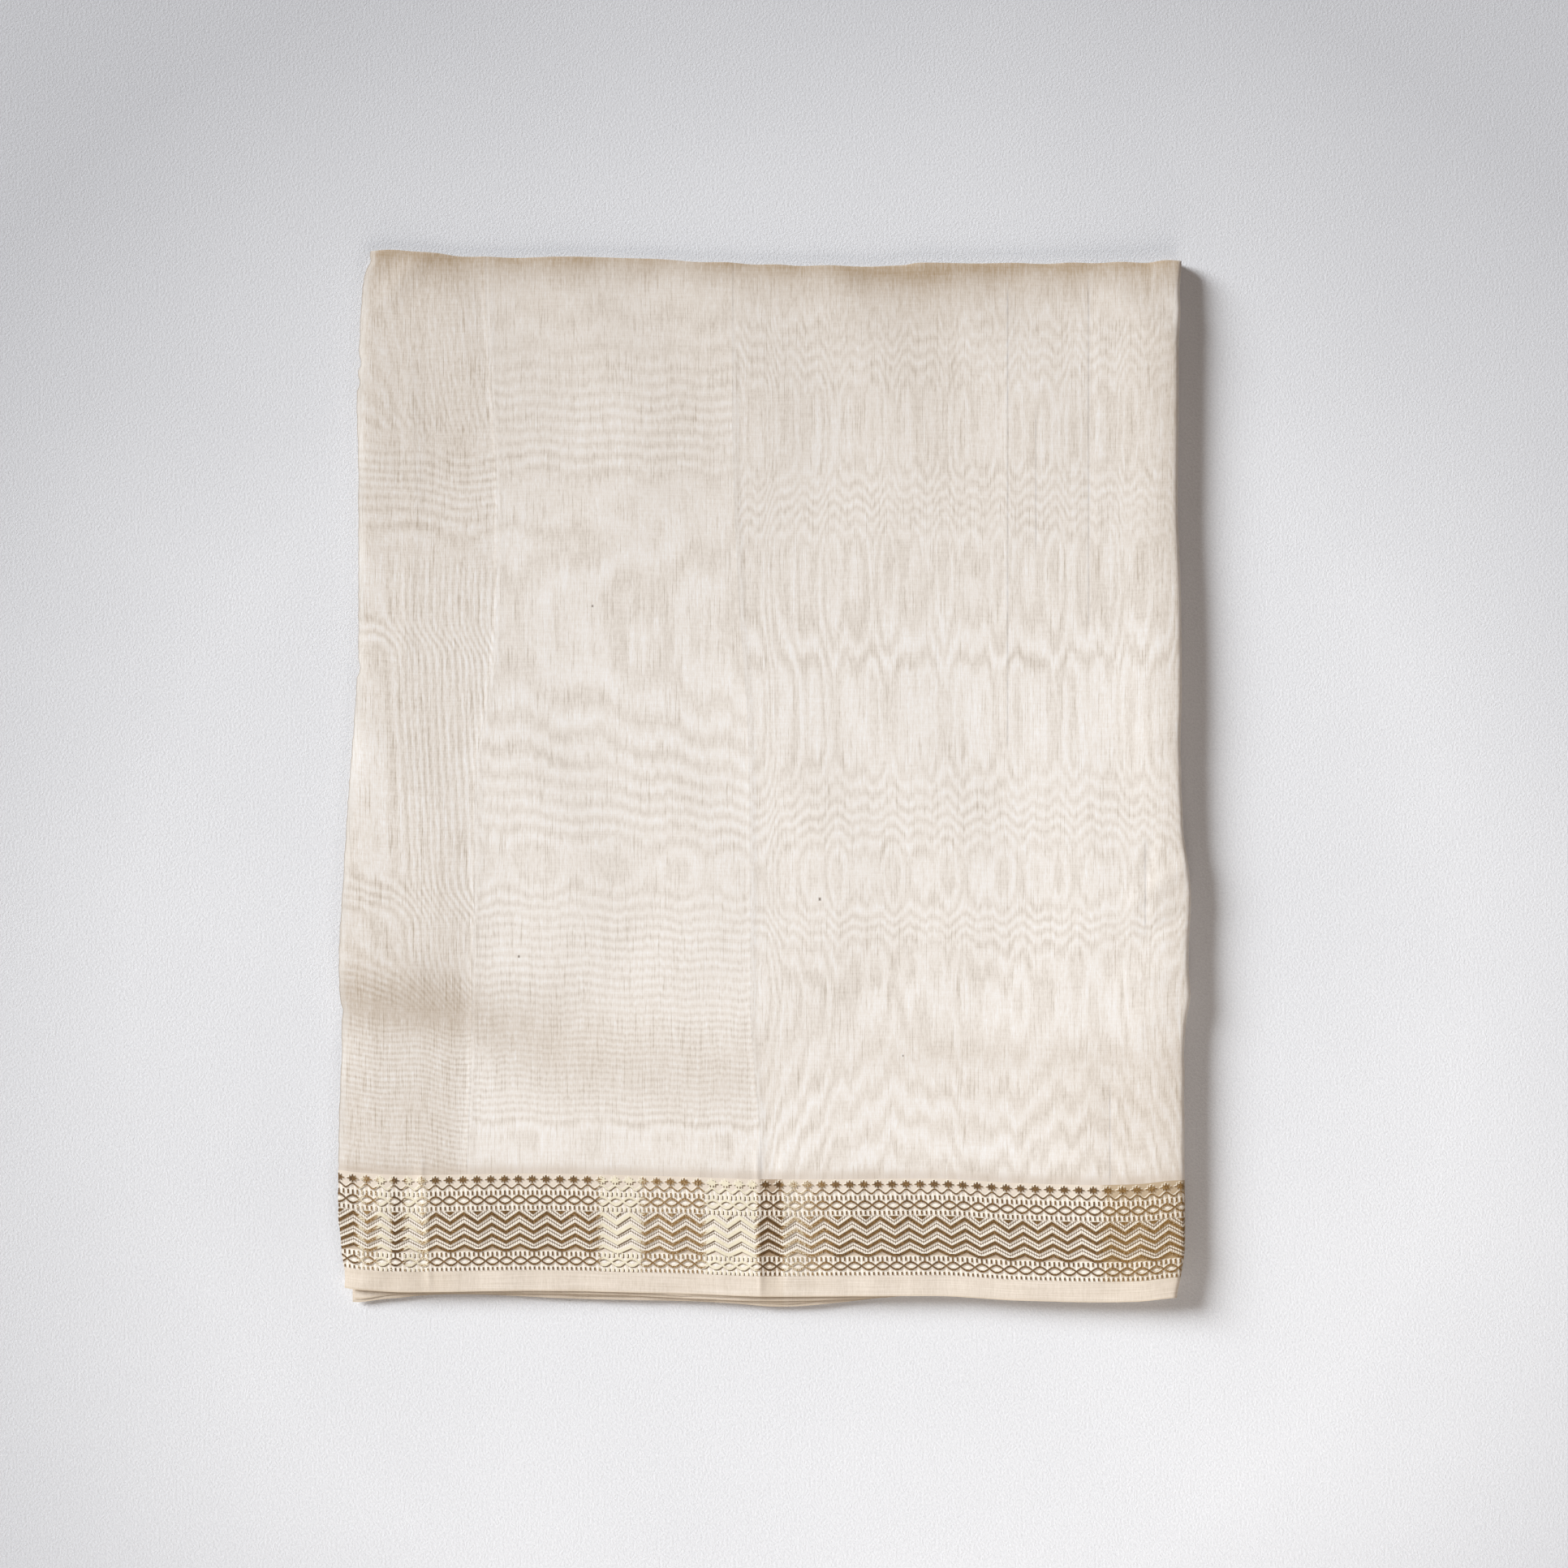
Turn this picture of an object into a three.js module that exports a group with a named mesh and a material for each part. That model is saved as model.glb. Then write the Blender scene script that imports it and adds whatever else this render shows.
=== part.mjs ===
// A length of sheer silk with a woven metal-thread border, folded flat.
// The cloth is doubled across its width, which puts the long fold at +Y and the
// selvedges at -Y, and then folded along its length into a stack of panels.
// The last of those folds is the thick one at +X, and the loose ends lie at -X.
// Millimetres, +Z up, lying on z = 0, with the origin under the middle of the box.
import * as THREE from "three";

// --- Driving dimensions ------------------------------------------------------

const wall = 1.2; // an outer ply, stated as a wall
const plyWall = 1.0; // an inner ply that shows along the selvedges
const seamGap = 0.3; // between pieces that are woven or laid edge to edge
const restGap = 0.4; // between an outer ply and the layers it lies on

const selvedgeBand = 11.2; // plain edge below the metal-thread border
const borderBand = 64.5; // selvedge to the top of the border
const overhangLeft = 4; // the top ply reaches past the layers under it
const coreSetback = 14; // the shared inner solid starts behind the selvedge plies

const foldRight = 5.5; // how far in the thick fold starts to round over
const foldTop = 12; // how far in the long fold starts to round over
const lipShare = 0.42; // height of the long fold's lip over the middle of the stack

const underLeft = 1.6; // how far the ply underneath stays inside the outline
const underFront = 1.2;
const underBackReach = 0.85; // of the long fold's reach
const underBulge = 0.4; // its edges are rounded

const fieldColumns = 22;
const fieldRows = 26;
const foldSteps = 4; // facets in a quarter turn

// The outline from above. Each table runs along its edge, a row for each bend.

const leftEdge = [
  { y: -280, x: -231.0 },
  { y: -264, x: -232.8 },
  { y: -241, x: -234.6 },
  { y: -197, x: -234.2 },
  { y: -152, x: -232.8 },
  { y: -108, x: -234.2 },
  { y: -63, x: -231.9 },
  { y: -7, x: -228.4 },
  { y: 26, x: -225.7 },
  { y: 71, x: -223.4 },
  { y: 160, x: -223.4 },
  { y: 202, x: -224.3 },
  { y: 229, x: -223.0 },
  { y: 256, x: -221.7 },
  { y: 274, x: -219.0 },
  { y: 290, x: -215.9 },
];

const rightEdge = [
  { y: -285, x: 226.6 },
  { y: -275, x: 228.4 },
  { y: -255, x: 231.0 },
  { y: -190, x: 230.6 },
  { y: -145, x: 230.6 },
  { y: -119, x: 233.7 },
  { y: -92, x: 232.8 },
  { y: -65, x: 234.6 },
  { y: -38, x: 231.0 },
  { y: -12, x: 229.2 },
  { y: 24, x: 228.4 },
  { y: 42, x: 229.2 },
  { y: 95, x: 228.8 },
  { y: 149, x: 227.0 },
  { y: 220, x: 227.5 },
  { y: 256, x: 227.0 },
  { y: 284, x: 229.2 },
];

const topEdge = [
  { x: -216, y: 290.3 },
  { x: -204, y: 290.8 },
  { x: -181, y: 288.6 },
  { x: -159, y: 286.8 },
  { x: -103, y: 286.8 },
  { x: -37, y: 284.5 },
  { x: 19, y: 281.9 },
  { x: 75, y: 281.9 },
  { x: 86, y: 283.2 },
  { x: 209, y: 283.2 },
  { x: 220, y: 284.5 },
  { x: 229, y: 284.1 },
];

const selvedgeEdge = [
  { x: -235, y: -280.1 },
  { x: -224, y: -281.4 },
  { x: -197, y: -282.8 },
  { x: -130, y: -281.9 },
  { x: -41, y: -283.7 },
  { x: 4, y: -285.0 },
  { x: 93, y: -284.5 },
  { x: 137, y: -286.8 },
  { x: 182, y: -287.7 },
  { x: 204, y: -287.2 },
  { x: 227, y: -285.0 },
];

// Thickness of the whole stack from the loose ends to the thick fold, and how it
// thins towards the selvedges, where no fold holds the plies apart.

const thicknessAcross = [
  { x: -235, z: 6.6 },
  { x: -215, z: 7.2 },
  { x: -150, z: 7.8 },
  { x: -20, z: 8.6 },
  { x: 110, z: 10.0 },
  { x: 190, z: 12.0 },
  { x: 222, z: 13.2 },
];

const thicknessAlong = [
  { y: -288, share: 0.94 },
  { y: -200, share: 0.97 },
  { y: 0, share: 1.0 },
  { y: 250, share: 1.0 },
  { y: 291, share: 0.9 },
];

// A soft trough that crosses the left half, above the border.
const trough = { y: -132, slant: 0.03, halfWidth: 20, depth: 2.0, fadeFrom: -130, fadeTo: 10 };

// The inner plies' selvedges, top to bottom. Each row says how far a ply reaches past
// the top ply's own selvedge there.

const innerPlies = [
  {
    name: "inner_ply_selvedge_1",
    start: -225,
    reach: [
      { x: -226, past: 0.8 },
      { x: -150, past: 1.2 },
      { x: -80, past: 2.0 },
      { x: 20, past: 2.6 },
      { x: 60, past: 1.4 },
      { x: 90, past: -1.0 },
      { x: 230, past: -1.6 },
    ],
  },
  {
    name: "inner_ply_selvedge_2",
    start: -227,
    reach: [
      { x: -227, past: 7.2 },
      { x: -208, past: 4.0 },
      { x: -181, past: 1.8 },
      { x: -108, past: 4.2 },
      { x: -19, past: 4.7 },
      { x: 8, past: 5.8 },
      { x: 48, past: 3.1 },
      { x: 82, past: 0.2 },
      { x: 230, past: -2.2 },
    ],
  },
  {
    name: "inner_ply_selvedge_3",
    start: -226,
    reach: [
      { x: -226, past: 4.6 },
      { x: -180, past: 0.4 },
      { x: -90, past: 2.8 },
      { x: 0, past: 3.6 },
      { x: 90, past: -0.6 },
      { x: 230, past: -1.2 },
    ],
  },
];

// The layers inside show as rounded edges. A row is a level on the way down, as a
// share of the height, and how far it stands out.
const layerProfile = [
  { down: 0.1, out: 0.9 },
  { down: 0.27, out: 1.2 },
  { down: 0.34, out: -1.6 },
  { down: 0.41, out: 1.3 },
  { down: 0.59, out: 1.3 },
  { down: 0.66, out: -1.6 },
  { down: 0.73, out: 1.1 },
  { down: 0.92, out: 0.7 },
];

// --- Curves through the tables -----------------------------------------------

// A smooth curve through a table's rows that never swings past them.
function through(rows, from, to) {
  const slopes = rows.slice(1).map((row, i) => (row[to] - rows[i][to]) / (row[from] - rows[i][from]));
  const tangents = rows.map((row, i) => {
    const before = slopes[i - 1] ?? 0;
    const after = slopes[i] ?? 0;
    return before * after > 0 ? (2 * before * after) / (before + after) : 0;
  });
  return (at) => {
    const last = rows.length - 1;
    if (at <= rows[0][from]) return rows[0][to];
    if (at >= rows[last][from]) return rows[last][to];
    const i = rows.findIndex((row) => row[from] > at) - 1;
    const span = rows[i + 1][from] - rows[i][from];
    const t = (at - rows[i][from]) / span;
    const rise = rows[i + 1][to] - rows[i][to];
    const ease = t * t * (3 - 2 * t);
    const lead = span * (tangents[i] * t * (1 - t) ** 2 - tangents[i + 1] * t * t * (1 - t));
    return rows[i][to] + rise * ease + lead;
  };
}

const leftX = through(leftEdge, "y", "x");
const rightX = through(rightEdge, "y", "x");
const topY = through(topEdge, "x", "y");
const selvedgeY = through(selvedgeEdge, "x", "y");
const across = through(thicknessAcross, "x", "z");
const along = through(thicknessAlong, "y", "share");

function mix(a, b, share) {
  return a + (b - a) * share;
}

// Height of the top ply's outer face above the table.
function stackHeight(x, y) {
  const faded = THREE.MathUtils.smoothstep(x, trough.fadeFrom, trough.fadeTo);
  const off = (y - trough.y - trough.slant * x) / trough.halfWidth;
  return across(x) * along(y) - trough.depth * (1 - faded) * Math.exp(-off * off);
}

// --- Stations: where the columns and rows of every piece run ------------------

// A station is a distance in from its edge, then a share of the way to the fold. In
// the fold, reach runs out to the edge and turn goes from 1 on top to 0 at the edge,
// and on to -1 underneath.

function quarterTurn(steps, fromDegrees, toDegrees) {
  const turns = [];
  for (let i = 1; i <= steps; i += 1) {
    const angle = THREE.MathUtils.degToRad(mix(fromDegrees, toDegrees, i / steps));
    turns.push({ reach: Math.cos(angle), turn: Math.sin(angle) });
  }
  return turns;
}

function columnStations() {
  const columns = [{ inset: 0, share: 0, reach: 0, turn: 1 }];
  for (let i = 0; i <= fieldColumns; i += 1) {
    columns.push({ inset: overhangLeft, share: i / fieldColumns, reach: 0, turn: 1 });
  }
  for (const part of quarterTurn(foldSteps, 90, 0)) {
    columns.push({ inset: overhangLeft, share: 1, ...part });
  }
  for (const part of quarterTurn(foldSteps, 0, -90)) {
    columns.push({ inset: overhangLeft, share: 1, ...part });
  }
  return columns;
}

function bandRows(offsets) {
  return offsets.map((inset) => ({ inset, share: 0, reach: 0, turn: 1 }));
}

function fieldStations(inset) {
  const rows = [];
  for (let i = 0; i <= fieldRows; i += 1) {
    rows.push({ inset, share: i / fieldRows, reach: 0, turn: 1 });
  }
  for (const part of quarterTurn(foldSteps, 90, 0)) {
    rows.push({ inset, share: 1, reach: part.reach, turn: mix(lipShare, 1, part.turn) });
  }
  return rows;
}

const columns = columnStations();
const flatColumn = fieldColumns + 1; // the last column before the thick fold
const edgeColumn = flatColumn + foldSteps; // the column at the fold's outer edge

const halfSeam = seamGap / 2;
const selvedgeRows = bandRows([0, selvedgeBand / 2, selvedgeBand - halfSeam]);
const borderRows = bandRows([
  selvedgeBand + halfSeam,
  coreSetback,
  mix(coreSetback, borderBand, 1 / 3),
  mix(coreSetback, borderBand, 2 / 3),
  borderBand - halfSeam,
]);
const fieldRowStations = fieldStations(borderBand + halfSeam);
const coreRows = [...borderRows.slice(1, -1), ...fieldRowStations];

// A point of the folded stack at a column and a row, sunk below the outer face by a
// depth. The fold's radii shrink by that depth, so nested faces stay parallel.
function stackPoint(column, row, depth) {
  const middleY = mix(selvedgeY(0) + row.inset, topY(0) - foldTop, row.share) + foldTop * row.reach;
  const left = leftX(middleY) + column.inset;
  const right = rightX(middleY) - foldRight;
  const x = mix(left, right, column.share) + (foldRight - depth) * column.reach;
  const low = selvedgeY(x) + row.inset;
  const high = topY(x) - foldTop;
  const y = mix(low, high, row.share) + (foldTop - depth) * row.reach;
  const height = stackHeight(x, y);
  const middle = height / 2;
  const above = middle + (height - depth - middle) * column.turn * row.turn;
  const below = middle + (middle - depth) * column.turn;
  return new THREE.Vector3(x, y, column.turn >= 0 ? above : below);
}

// --- Closed solids -------------------------------------------------------------

// Gathers faces, joins points that coincide and drops faces with no area.
function facetBuilder() {
  const points = [];
  const faces = [];
  const known = new Map();
  function place(point) {
    const key = point.toArray().map((value) => Math.round(value * 1e4)).join();
    if (!known.has(key)) {
      known.set(key, points.length / 3);
      points.push(...point.toArray());
    }
    return known.get(key);
  }
  function triangle(a, b, c) {
    const corners = [place(a), place(b), place(c)];
    if (new Set(corners).size === 3) faces.push(...corners);
  }
  function quad(a, b, c, d) {
    triangle(a, b, c);
    triangle(a, c, d);
  }
  function geometry() {
    const result = new THREE.BufferGeometry();
    result.setAttribute("position", new THREE.Float32BufferAttribute(points, 3));
    result.setIndex(faces);
    result.computeVertexNormals();
    return result;
  }
  return { triangle, quad, geometry };
}

// The faces of a grid of points, seen from its outer side.
function addGrid(solid, grid, outward) {
  for (let i = 0; i + 1 < grid.length; i += 1) {
    for (let j = 0; j + 1 < grid[i].length; j += 1) {
      const ring = [grid[i][j], grid[i + 1][j], grid[i + 1][j + 1], grid[i][j + 1]];
      solid.quad(...(outward ? ring : ring.reverse()));
    }
  }
}

// A strip between two runs of points with the same count.
function addStrip(solid, upper, lower) {
  for (let i = 0; i + 1 < upper.length; i += 1) {
    solid.quad(upper[i], upper[i + 1], lower[i + 1], lower[i]);
  }
}

// The run of points round a grid, clockwise from above, starting at its last column.
function clockwiseRim(grid) {
  const lastColumn = grid.length - 1;
  const lastRow = grid[0].length - 1;
  const front = grid.map((line) => line[0]).reverse();
  const left = grid[0].slice(1);
  const back = grid.slice(1).map((line) => line[lastRow]);
  const right = grid[lastColumn].slice(0, lastRow).reverse();
  return [...front, ...left, ...back, ...right];
}

// A wall of cloth between an outer and an inner grid of points.
function wallGeometry(outer, inner) {
  const solid = facetBuilder();
  addGrid(solid, outer, true);
  addGrid(solid, inner, false);
  addStrip(solid, clockwiseRim(outer), clockwiseRim(inner));
  return solid.geometry();
}

function pointGrid(columnList, rowList, pointAt) {
  return columnList.map((column) => rowList.map((row) => pointAt(column, row)));
}

// One stretch of the outer ply, over the top and round the thick fold.
function topPly(rowList) {
  const outer = pointGrid(columns, rowList, (column, row) => stackPoint(column, row, 0));
  const inner = pointGrid(columns, rowList, (column, row) => stackPoint(column, row, wall));
  return wallGeometry(outer, inner);
}

// A flat face at one height inside a grid's rim, facing up or down. Its long faces run
// from side to side, and a fan closes it at the front and the back.
function addFlat(solid, grid, up) {
  const face = (a, b, c) => (up ? solid.triangle(a, b, c) : solid.triangle(a, c, b));
  const left = grid[0];
  const right = grid[grid.length - 1];
  const half = Math.floor(grid.length / 2);
  const behind = left.length - 2;
  for (let j = 1; j < behind; j += 1) {
    face(left[j], right[j], right[j + 1]);
    face(left[j], right[j + 1], left[j + 1]);
  }
  for (let i = 0; i + 1 < grid.length; i += 1) {
    const side = i < half ? left : right;
    face(grid[i][0], grid[i + 1][0], side[1]);
    face(grid[i + 1][behind + 1], grid[i][behind + 1], side[behind]);
  }
  face(grid[half][0], right[1], left[1]);
  face(grid[half][behind + 1], left[behind], right[behind]);
}

// The ply underneath, flat on the table, from the loose ends to the thick fold.
function underPly() {
  const plateColumns = columns.slice(0, flatColumn + 1);
  const flatRows = fieldRowStations.slice(0, fieldRows + 1);
  const backRow = { ...flatRows[fieldRows], reach: underBackReach };
  const plateRows = [...bandRows([underFront]), ...borderRows.slice(1, -1), ...flatRows, backRow];
  const lastRow = plateRows.length - 1;
  const level = (height, bulge) => {
    const grid = pointGrid(plateColumns, plateRows, (column, row) => stackPoint(column, row, 0));
    grid.forEach((line, i) => line.forEach((point, j) => {
      point.z = height;
      if (i === 0) point.x += underLeft - bulge;
      if (i === flatColumn) point.x -= seamGap;
      if (j === 0) point.y -= bulge;
      if (j === lastRow) point.y += bulge;
    }));
    return grid;
  };
  const [bottom, middle, top] = [level(0, 0), level(wall / 2, underBulge), level(wall, 0)];
  const solid = facetBuilder();
  addFlat(solid, bottom, false);
  addFlat(solid, top, true);
  addStrip(solid, clockwiseRim(middle), clockwiseRim(bottom));
  addStrip(solid, clockwiseRim(top), clockwiseRim(middle));
  return solid.geometry();
}

// The hidden layers as one rounded solid, with their edges showing on the open sides.
function innerLayers() {
  const depth = wall + restGap;
  const coreColumns = columns.slice(1, edgeColumn + 1);
  const upper = pointGrid(coreColumns, coreRows, (column, row) => stackPoint(column, row, depth));
  const lower = pointGrid(coreColumns, coreRows, (column, row) =>
    stackPoint({ ...column, turn: -column.turn }, row, depth));
  for (const point of lower[lower.length - 1]) {
    point.z = stackHeight(point.x, point.y) / 2;
  }
  const solid = facetBuilder();
  addGrid(solid, upper, true);
  addFlat(solid, lower.slice(0, flatColumn), false);
  addGrid(solid, lower.slice(flatColumn - 1), false);
  const levels = [{ down: 0, out: 0 }, ...layerProfile, { down: 1, out: 0 }];
  const openSide = (grid) => clockwiseRim(grid).slice(0, 2 * grid.length + grid[0].length - 2);
  const above = openSide(upper);
  const below = openSide(lower);
  const front = coreColumns.length;
  const left = front + coreRows.length - 1;
  const rings = levels.map(({ down, out }) => above.map((point, k) => {
    const ring = point.clone().lerp(below[k], down);
    const room = Math.min(1, (point.z - below[k].z) / 3);
    const uneven = 1 + 0.25 * Math.sin(0.9 * k + 7 * down);
    const step = out * room * uneven;
    if (k >= front - 1 && k < left) ring.x -= step;
    if (k >= left - 1) ring.y += step;
    return ring;
  }));
  for (let r = 0; r + 1 < rings.length; r += 1) {
    addStrip(solid, rings[r], rings[r + 1]);
  }
  return solid.geometry();
}

// An inner ply's selvedge, between the outer plies and in front of the shared solid.
function innerPly(ply, index) {
  const past = through(ply.reach, "x", "past");
  const steps = 28;
  const stop = rightX(selvedgeY(0)) - foldRight - wall - restGap;
  const stations = Array.from({ length: steps + 1 }, (unused, i) => mix(ply.start, stop, i / steps));
  const levelAt = (x) => {
    const room = stackHeight(x, selvedgeY(x)) - 2 * wall - innerPlies.length * plyWall;
    const gap = room / (innerPlies.length + 1);
    return wall + gap + (innerPlies.length - 1 - index) * (plyWall + gap);
  };
  const face = (lift) => stations.map((x) => {
    const front = selvedgeY(x) - past(x);
    const back = selvedgeY(x) + coreSetback - restGap;
    return [0, 0.5, 1].map((share) => new THREE.Vector3(x, mix(front, back, share), levelAt(x) + lift));
  });
  return wallGeometry(face(plyWall), face(0));
}

// --- The folded length ----------------------------------------------------------

const sheerSilk = new THREE.MeshStandardMaterial({ color: 0xe6dccf, roughness: 0.7, metalness: 0 });
const metalThread = new THREE.MeshStandardMaterial({ color: 0x9a7743, roughness: 0.4, metalness: 0.6 });
const plainEdge = new THREE.MeshStandardMaterial({ color: 0xf0e4d0, roughness: 0.75, metalness: 0 });

function addPiece(group, name, geometry, material) {
  const mesh = new THREE.Mesh(geometry, material);
  mesh.name = name;
  group.add(mesh);
}

const group = new THREE.Group();
addPiece(group, "top_ply_field", topPly(fieldRowStations), sheerSilk);
addPiece(group, "top_ply_border", topPly(borderRows), metalThread);
addPiece(group, "top_ply_selvedge", topPly(selvedgeRows), plainEdge);
innerPlies.forEach((ply, index) => addPiece(group, ply.name, innerPly(ply, index), plainEdge));
addPiece(group, "inner_layers", innerLayers(), sheerSilk);
addPiece(group, "under_ply", underPly(), sheerSilk);

// The tables are laid out round the middle of the box, and this takes up what is left.
const box = new THREE.Box3().setFromObject(group);
group.position.set(-(box.min.x + box.max.x) / 2, -(box.min.y + box.max.y) / 2, -box.min.z);

export default group;
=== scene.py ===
# %% [markdown]
# # A folded length of sheer silk
# A weaver sells this cloth as one long strip. It is doubled across its width and then
# folded along its length, so what lies on the table is a soft stack of plies. This lesson
# dresses that stack: thin cloth over its form, plies along its open sides, a woven
# metal-thread border, and the watery ripples that sheer plies make over one another.

# %% Setting up
import math

import bmesh
import bpy
import numpy as np
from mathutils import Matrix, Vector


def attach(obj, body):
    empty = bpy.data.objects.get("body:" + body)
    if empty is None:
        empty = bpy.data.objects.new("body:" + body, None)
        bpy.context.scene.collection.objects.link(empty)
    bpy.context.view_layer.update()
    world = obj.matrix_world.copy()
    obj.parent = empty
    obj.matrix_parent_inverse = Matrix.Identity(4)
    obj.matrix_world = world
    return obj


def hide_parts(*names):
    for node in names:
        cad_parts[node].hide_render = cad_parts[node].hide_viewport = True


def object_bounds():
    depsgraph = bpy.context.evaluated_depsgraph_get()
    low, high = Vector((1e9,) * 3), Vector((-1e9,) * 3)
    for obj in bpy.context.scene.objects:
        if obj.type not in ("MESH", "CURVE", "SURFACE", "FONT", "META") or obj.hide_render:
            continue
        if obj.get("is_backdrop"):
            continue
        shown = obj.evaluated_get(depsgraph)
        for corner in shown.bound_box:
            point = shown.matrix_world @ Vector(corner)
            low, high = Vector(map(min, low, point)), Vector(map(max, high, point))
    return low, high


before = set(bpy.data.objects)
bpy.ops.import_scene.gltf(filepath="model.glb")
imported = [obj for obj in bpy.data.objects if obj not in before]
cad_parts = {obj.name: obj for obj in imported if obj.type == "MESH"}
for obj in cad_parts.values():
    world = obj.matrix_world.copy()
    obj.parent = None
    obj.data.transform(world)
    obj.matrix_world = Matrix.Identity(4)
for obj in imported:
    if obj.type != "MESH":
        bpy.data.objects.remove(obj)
solid_low, solid_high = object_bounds()
scene = bpy.context.scene
MM = 0.001
print("solids:", len(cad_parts), "box from", solid_low[:], "to", solid_high[:])

# %% [markdown]
# ## The outline and the height
# A folded cloth is never a true rectangle. Short tables say where each edge runs, in
# millimetres, and a smooth curve goes through their rows. The curve takes its slope from
# both neighbours, and never swings past a row, so a small bump stays a small bump.

# %% A smooth curve through a table


def curve_through(rows):
    """A smooth curve through (at, value) rows that never swings past them."""
    at, value = np.array(rows, float).T
    span = np.diff(at)
    slope = np.diff(value) / span
    before, after = slope[:-1], slope[1:]
    same_way = before * after > 0
    tangent = np.zeros(len(at))
    middle = tangent[1:-1]
    middle[same_way] = (2 * before * after)[same_way] / (before + after)[same_way]

    def curve(place):
        x = np.clip(place, at[0], at[-1])
        i = np.clip(np.searchsorted(at, x, side="right") - 1, 0, len(span) - 1)
        t = (x - at[i]) / span[i]
        rise = (value[i + 1] - value[i]) * t * t * (3 - 2 * t)
        lead = span[i] * (tangent[i] * t * (1 - t) ** 2 - tangent[i + 1] * t * t * (1 - t))
        return value[i] + rise + lead

    return curve


def mix(a, b, share):
    return a + (b - a) * share


def smooth_step(x, low, high):
    """From 0 at the low end to 1 at the high end, with level ends."""
    t = np.clip((x - low) / (high - low), 0, 1)
    return t * t * (3 - 2 * t)


def hump(x, middle, half):
    """1 at the middle, fading to 0 on both sides."""
    return np.exp(-((x - middle) / half) ** 2)


# %% Where the edges run
left_x = curve_through([
    (-280, -231.0), (-264, -232.8), (-241, -234.6), (-197, -234.2), (-152, -232.8),
    (-108, -234.2), (-63, -231.9), (-7, -228.4), (26, -225.7), (71, -223.4),
    (160, -223.4), (202, -224.3), (229, -223.0), (256, -221.7), (274, -219.0), (290, -215.9),
])
right_x = curve_through([
    (-285, 226.6), (-275, 228.4), (-255, 231.0), (-190, 230.6), (-145, 230.6), (-119, 233.7),
    (-92, 232.8), (-65, 234.6), (-38, 231.0), (-12, 229.2), (24, 228.4), (42, 229.2),
    (95, 228.8), (149, 227.0), (220, 227.5), (256, 227.0), (284, 229.2),
])
top_y = curve_through([
    (-216, 290.3), (-204, 290.8), (-181, 288.6), (-159, 286.8), (-103, 286.8), (-37, 284.5),
    (19, 281.9), (75, 281.9), (86, 283.2), (209, 283.2), (220, 284.5), (229, 284.1),
])
selvedge_y = curve_through([
    (-235, -280.1), (-224, -281.4), (-197, -282.8), (-130, -281.9), (-41, -283.7), (4, -285.0),
    (93, -284.5), (137, -286.8), (182, -287.7), (204, -287.2), (227, -285.0),
])
thickness_across = curve_through([
    (-235, 6.6), (-215, 7.2), (-150, 7.8), (-20, 8.6), (110, 10.0), (190, 12.0), (222, 13.2),
])
thickness_along = curve_through([(-288, 0.94), (-200, 0.97), (0, 1.0), (250, 1.0), (291, 0.9)])

TROUGH = {"y": -132, "slant": 0.03, "half": 20, "depth": 2.0, "fade_from": -130, "fade_to": 10}


def stack_height(x, y):
    """Height of the top ply's outer face, with the soft trough across its left half."""
    faded = smooth_step(x, TROUGH["fade_from"], TROUGH["fade_to"])
    sunk = TROUGH["depth"] * (1 - faded)
    sunk = sunk * hump(y - TROUGH["slant"] * x, TROUGH["y"], TROUGH["half"])
    return thickness_across(x) * thickness_along(y) - sunk


print("height at the middle:", round(float(stack_height(0.0, 0.0)), 2), "mm")

# %% [markdown]
# ## Stations
# A grid of cloth is laid over the form column by column and row by row. A station says
# how far in from its edge it lies, then what share of the way it is to the fold. In a
# fold, `reach` runs out to the edge, and `turn` goes from 1 on top to 0 at the edge and
# on to -1 underneath. Columns crowd together at the pressed creases, which are narrow.

# %% Columns and rows of the grids
SELVEDGE_BAND = 11.2
BORDER_TOP = 64.5
OVERHANG = 4.0
CORE_SETBACK = 14.0
FOLD_RIGHT = 5.5
FOLD_TOP = 12.0
LIP_SHARE = 0.42
CENTRE_SHIFT = (0.06, 0.18)


def stations(inset, share=0.0, reach=0.0, turn=1.0):
    """Rows of (inset, share, reach, turn), one for each value of the longest argument."""
    return np.stack(np.broadcast_arrays(inset, share, reach, turn), axis=-1).astype(float)


def crowded(count, places, extra):
    """Shares from 0 to 1 that are closer together at the given places."""
    fine = np.linspace(0, 1, 4001)
    density = np.ones_like(fine)
    for place, half in places:
        density += extra * np.exp(-((fine - place) / half) ** 4)
    total = np.concatenate([[0], np.cumsum((density[1:] + density[:-1]) / 2)])
    return np.interp(np.linspace(0, total[-1], count), total, fine)


def turned(from_degrees, to_degrees, steps):
    angle = np.radians(np.linspace(from_degrees, to_degrees, steps + 1)[1:])
    return np.cos(angle).round(9), np.sin(angle).round(9)


crease_places = [(0.168, 0.024), (0.485, 0.03), (0.098, 0.008)]
SQUARER = 0.45
over_x, over_z = (part ** SQUARER for part in turned(90, 0, 12))
under_x, under_z = turned(0, -90, 9)
columns = np.concatenate([
    stations([0.0, 0.7, 1.6, 2.7]),
    stations(OVERHANG, crowded(196, crease_places, 1.7)),
    stations(OVERHANG, 1.0, over_x, over_z),
    stations(OVERHANG, 1.0, under_x, under_z),
])
FLAT_COLUMN = int(np.argmax(columns[:, 2] > 0)) - 1
lip_y, lip_z = turned(90, 0, 9)
selvedge_rows = stations(np.linspace(0, SELVEDGE_BAND, 7))
border_rows = stations(np.linspace(SELVEDGE_BAND, BORDER_TOP, 34))
field_rows = np.concatenate([
    stations(BORDER_TOP, np.linspace(0, 1, 174)),
    stations(BORDER_TOP, 1.0, lip_y, mix(LIP_SHARE, 1, lip_z)),
])
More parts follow.
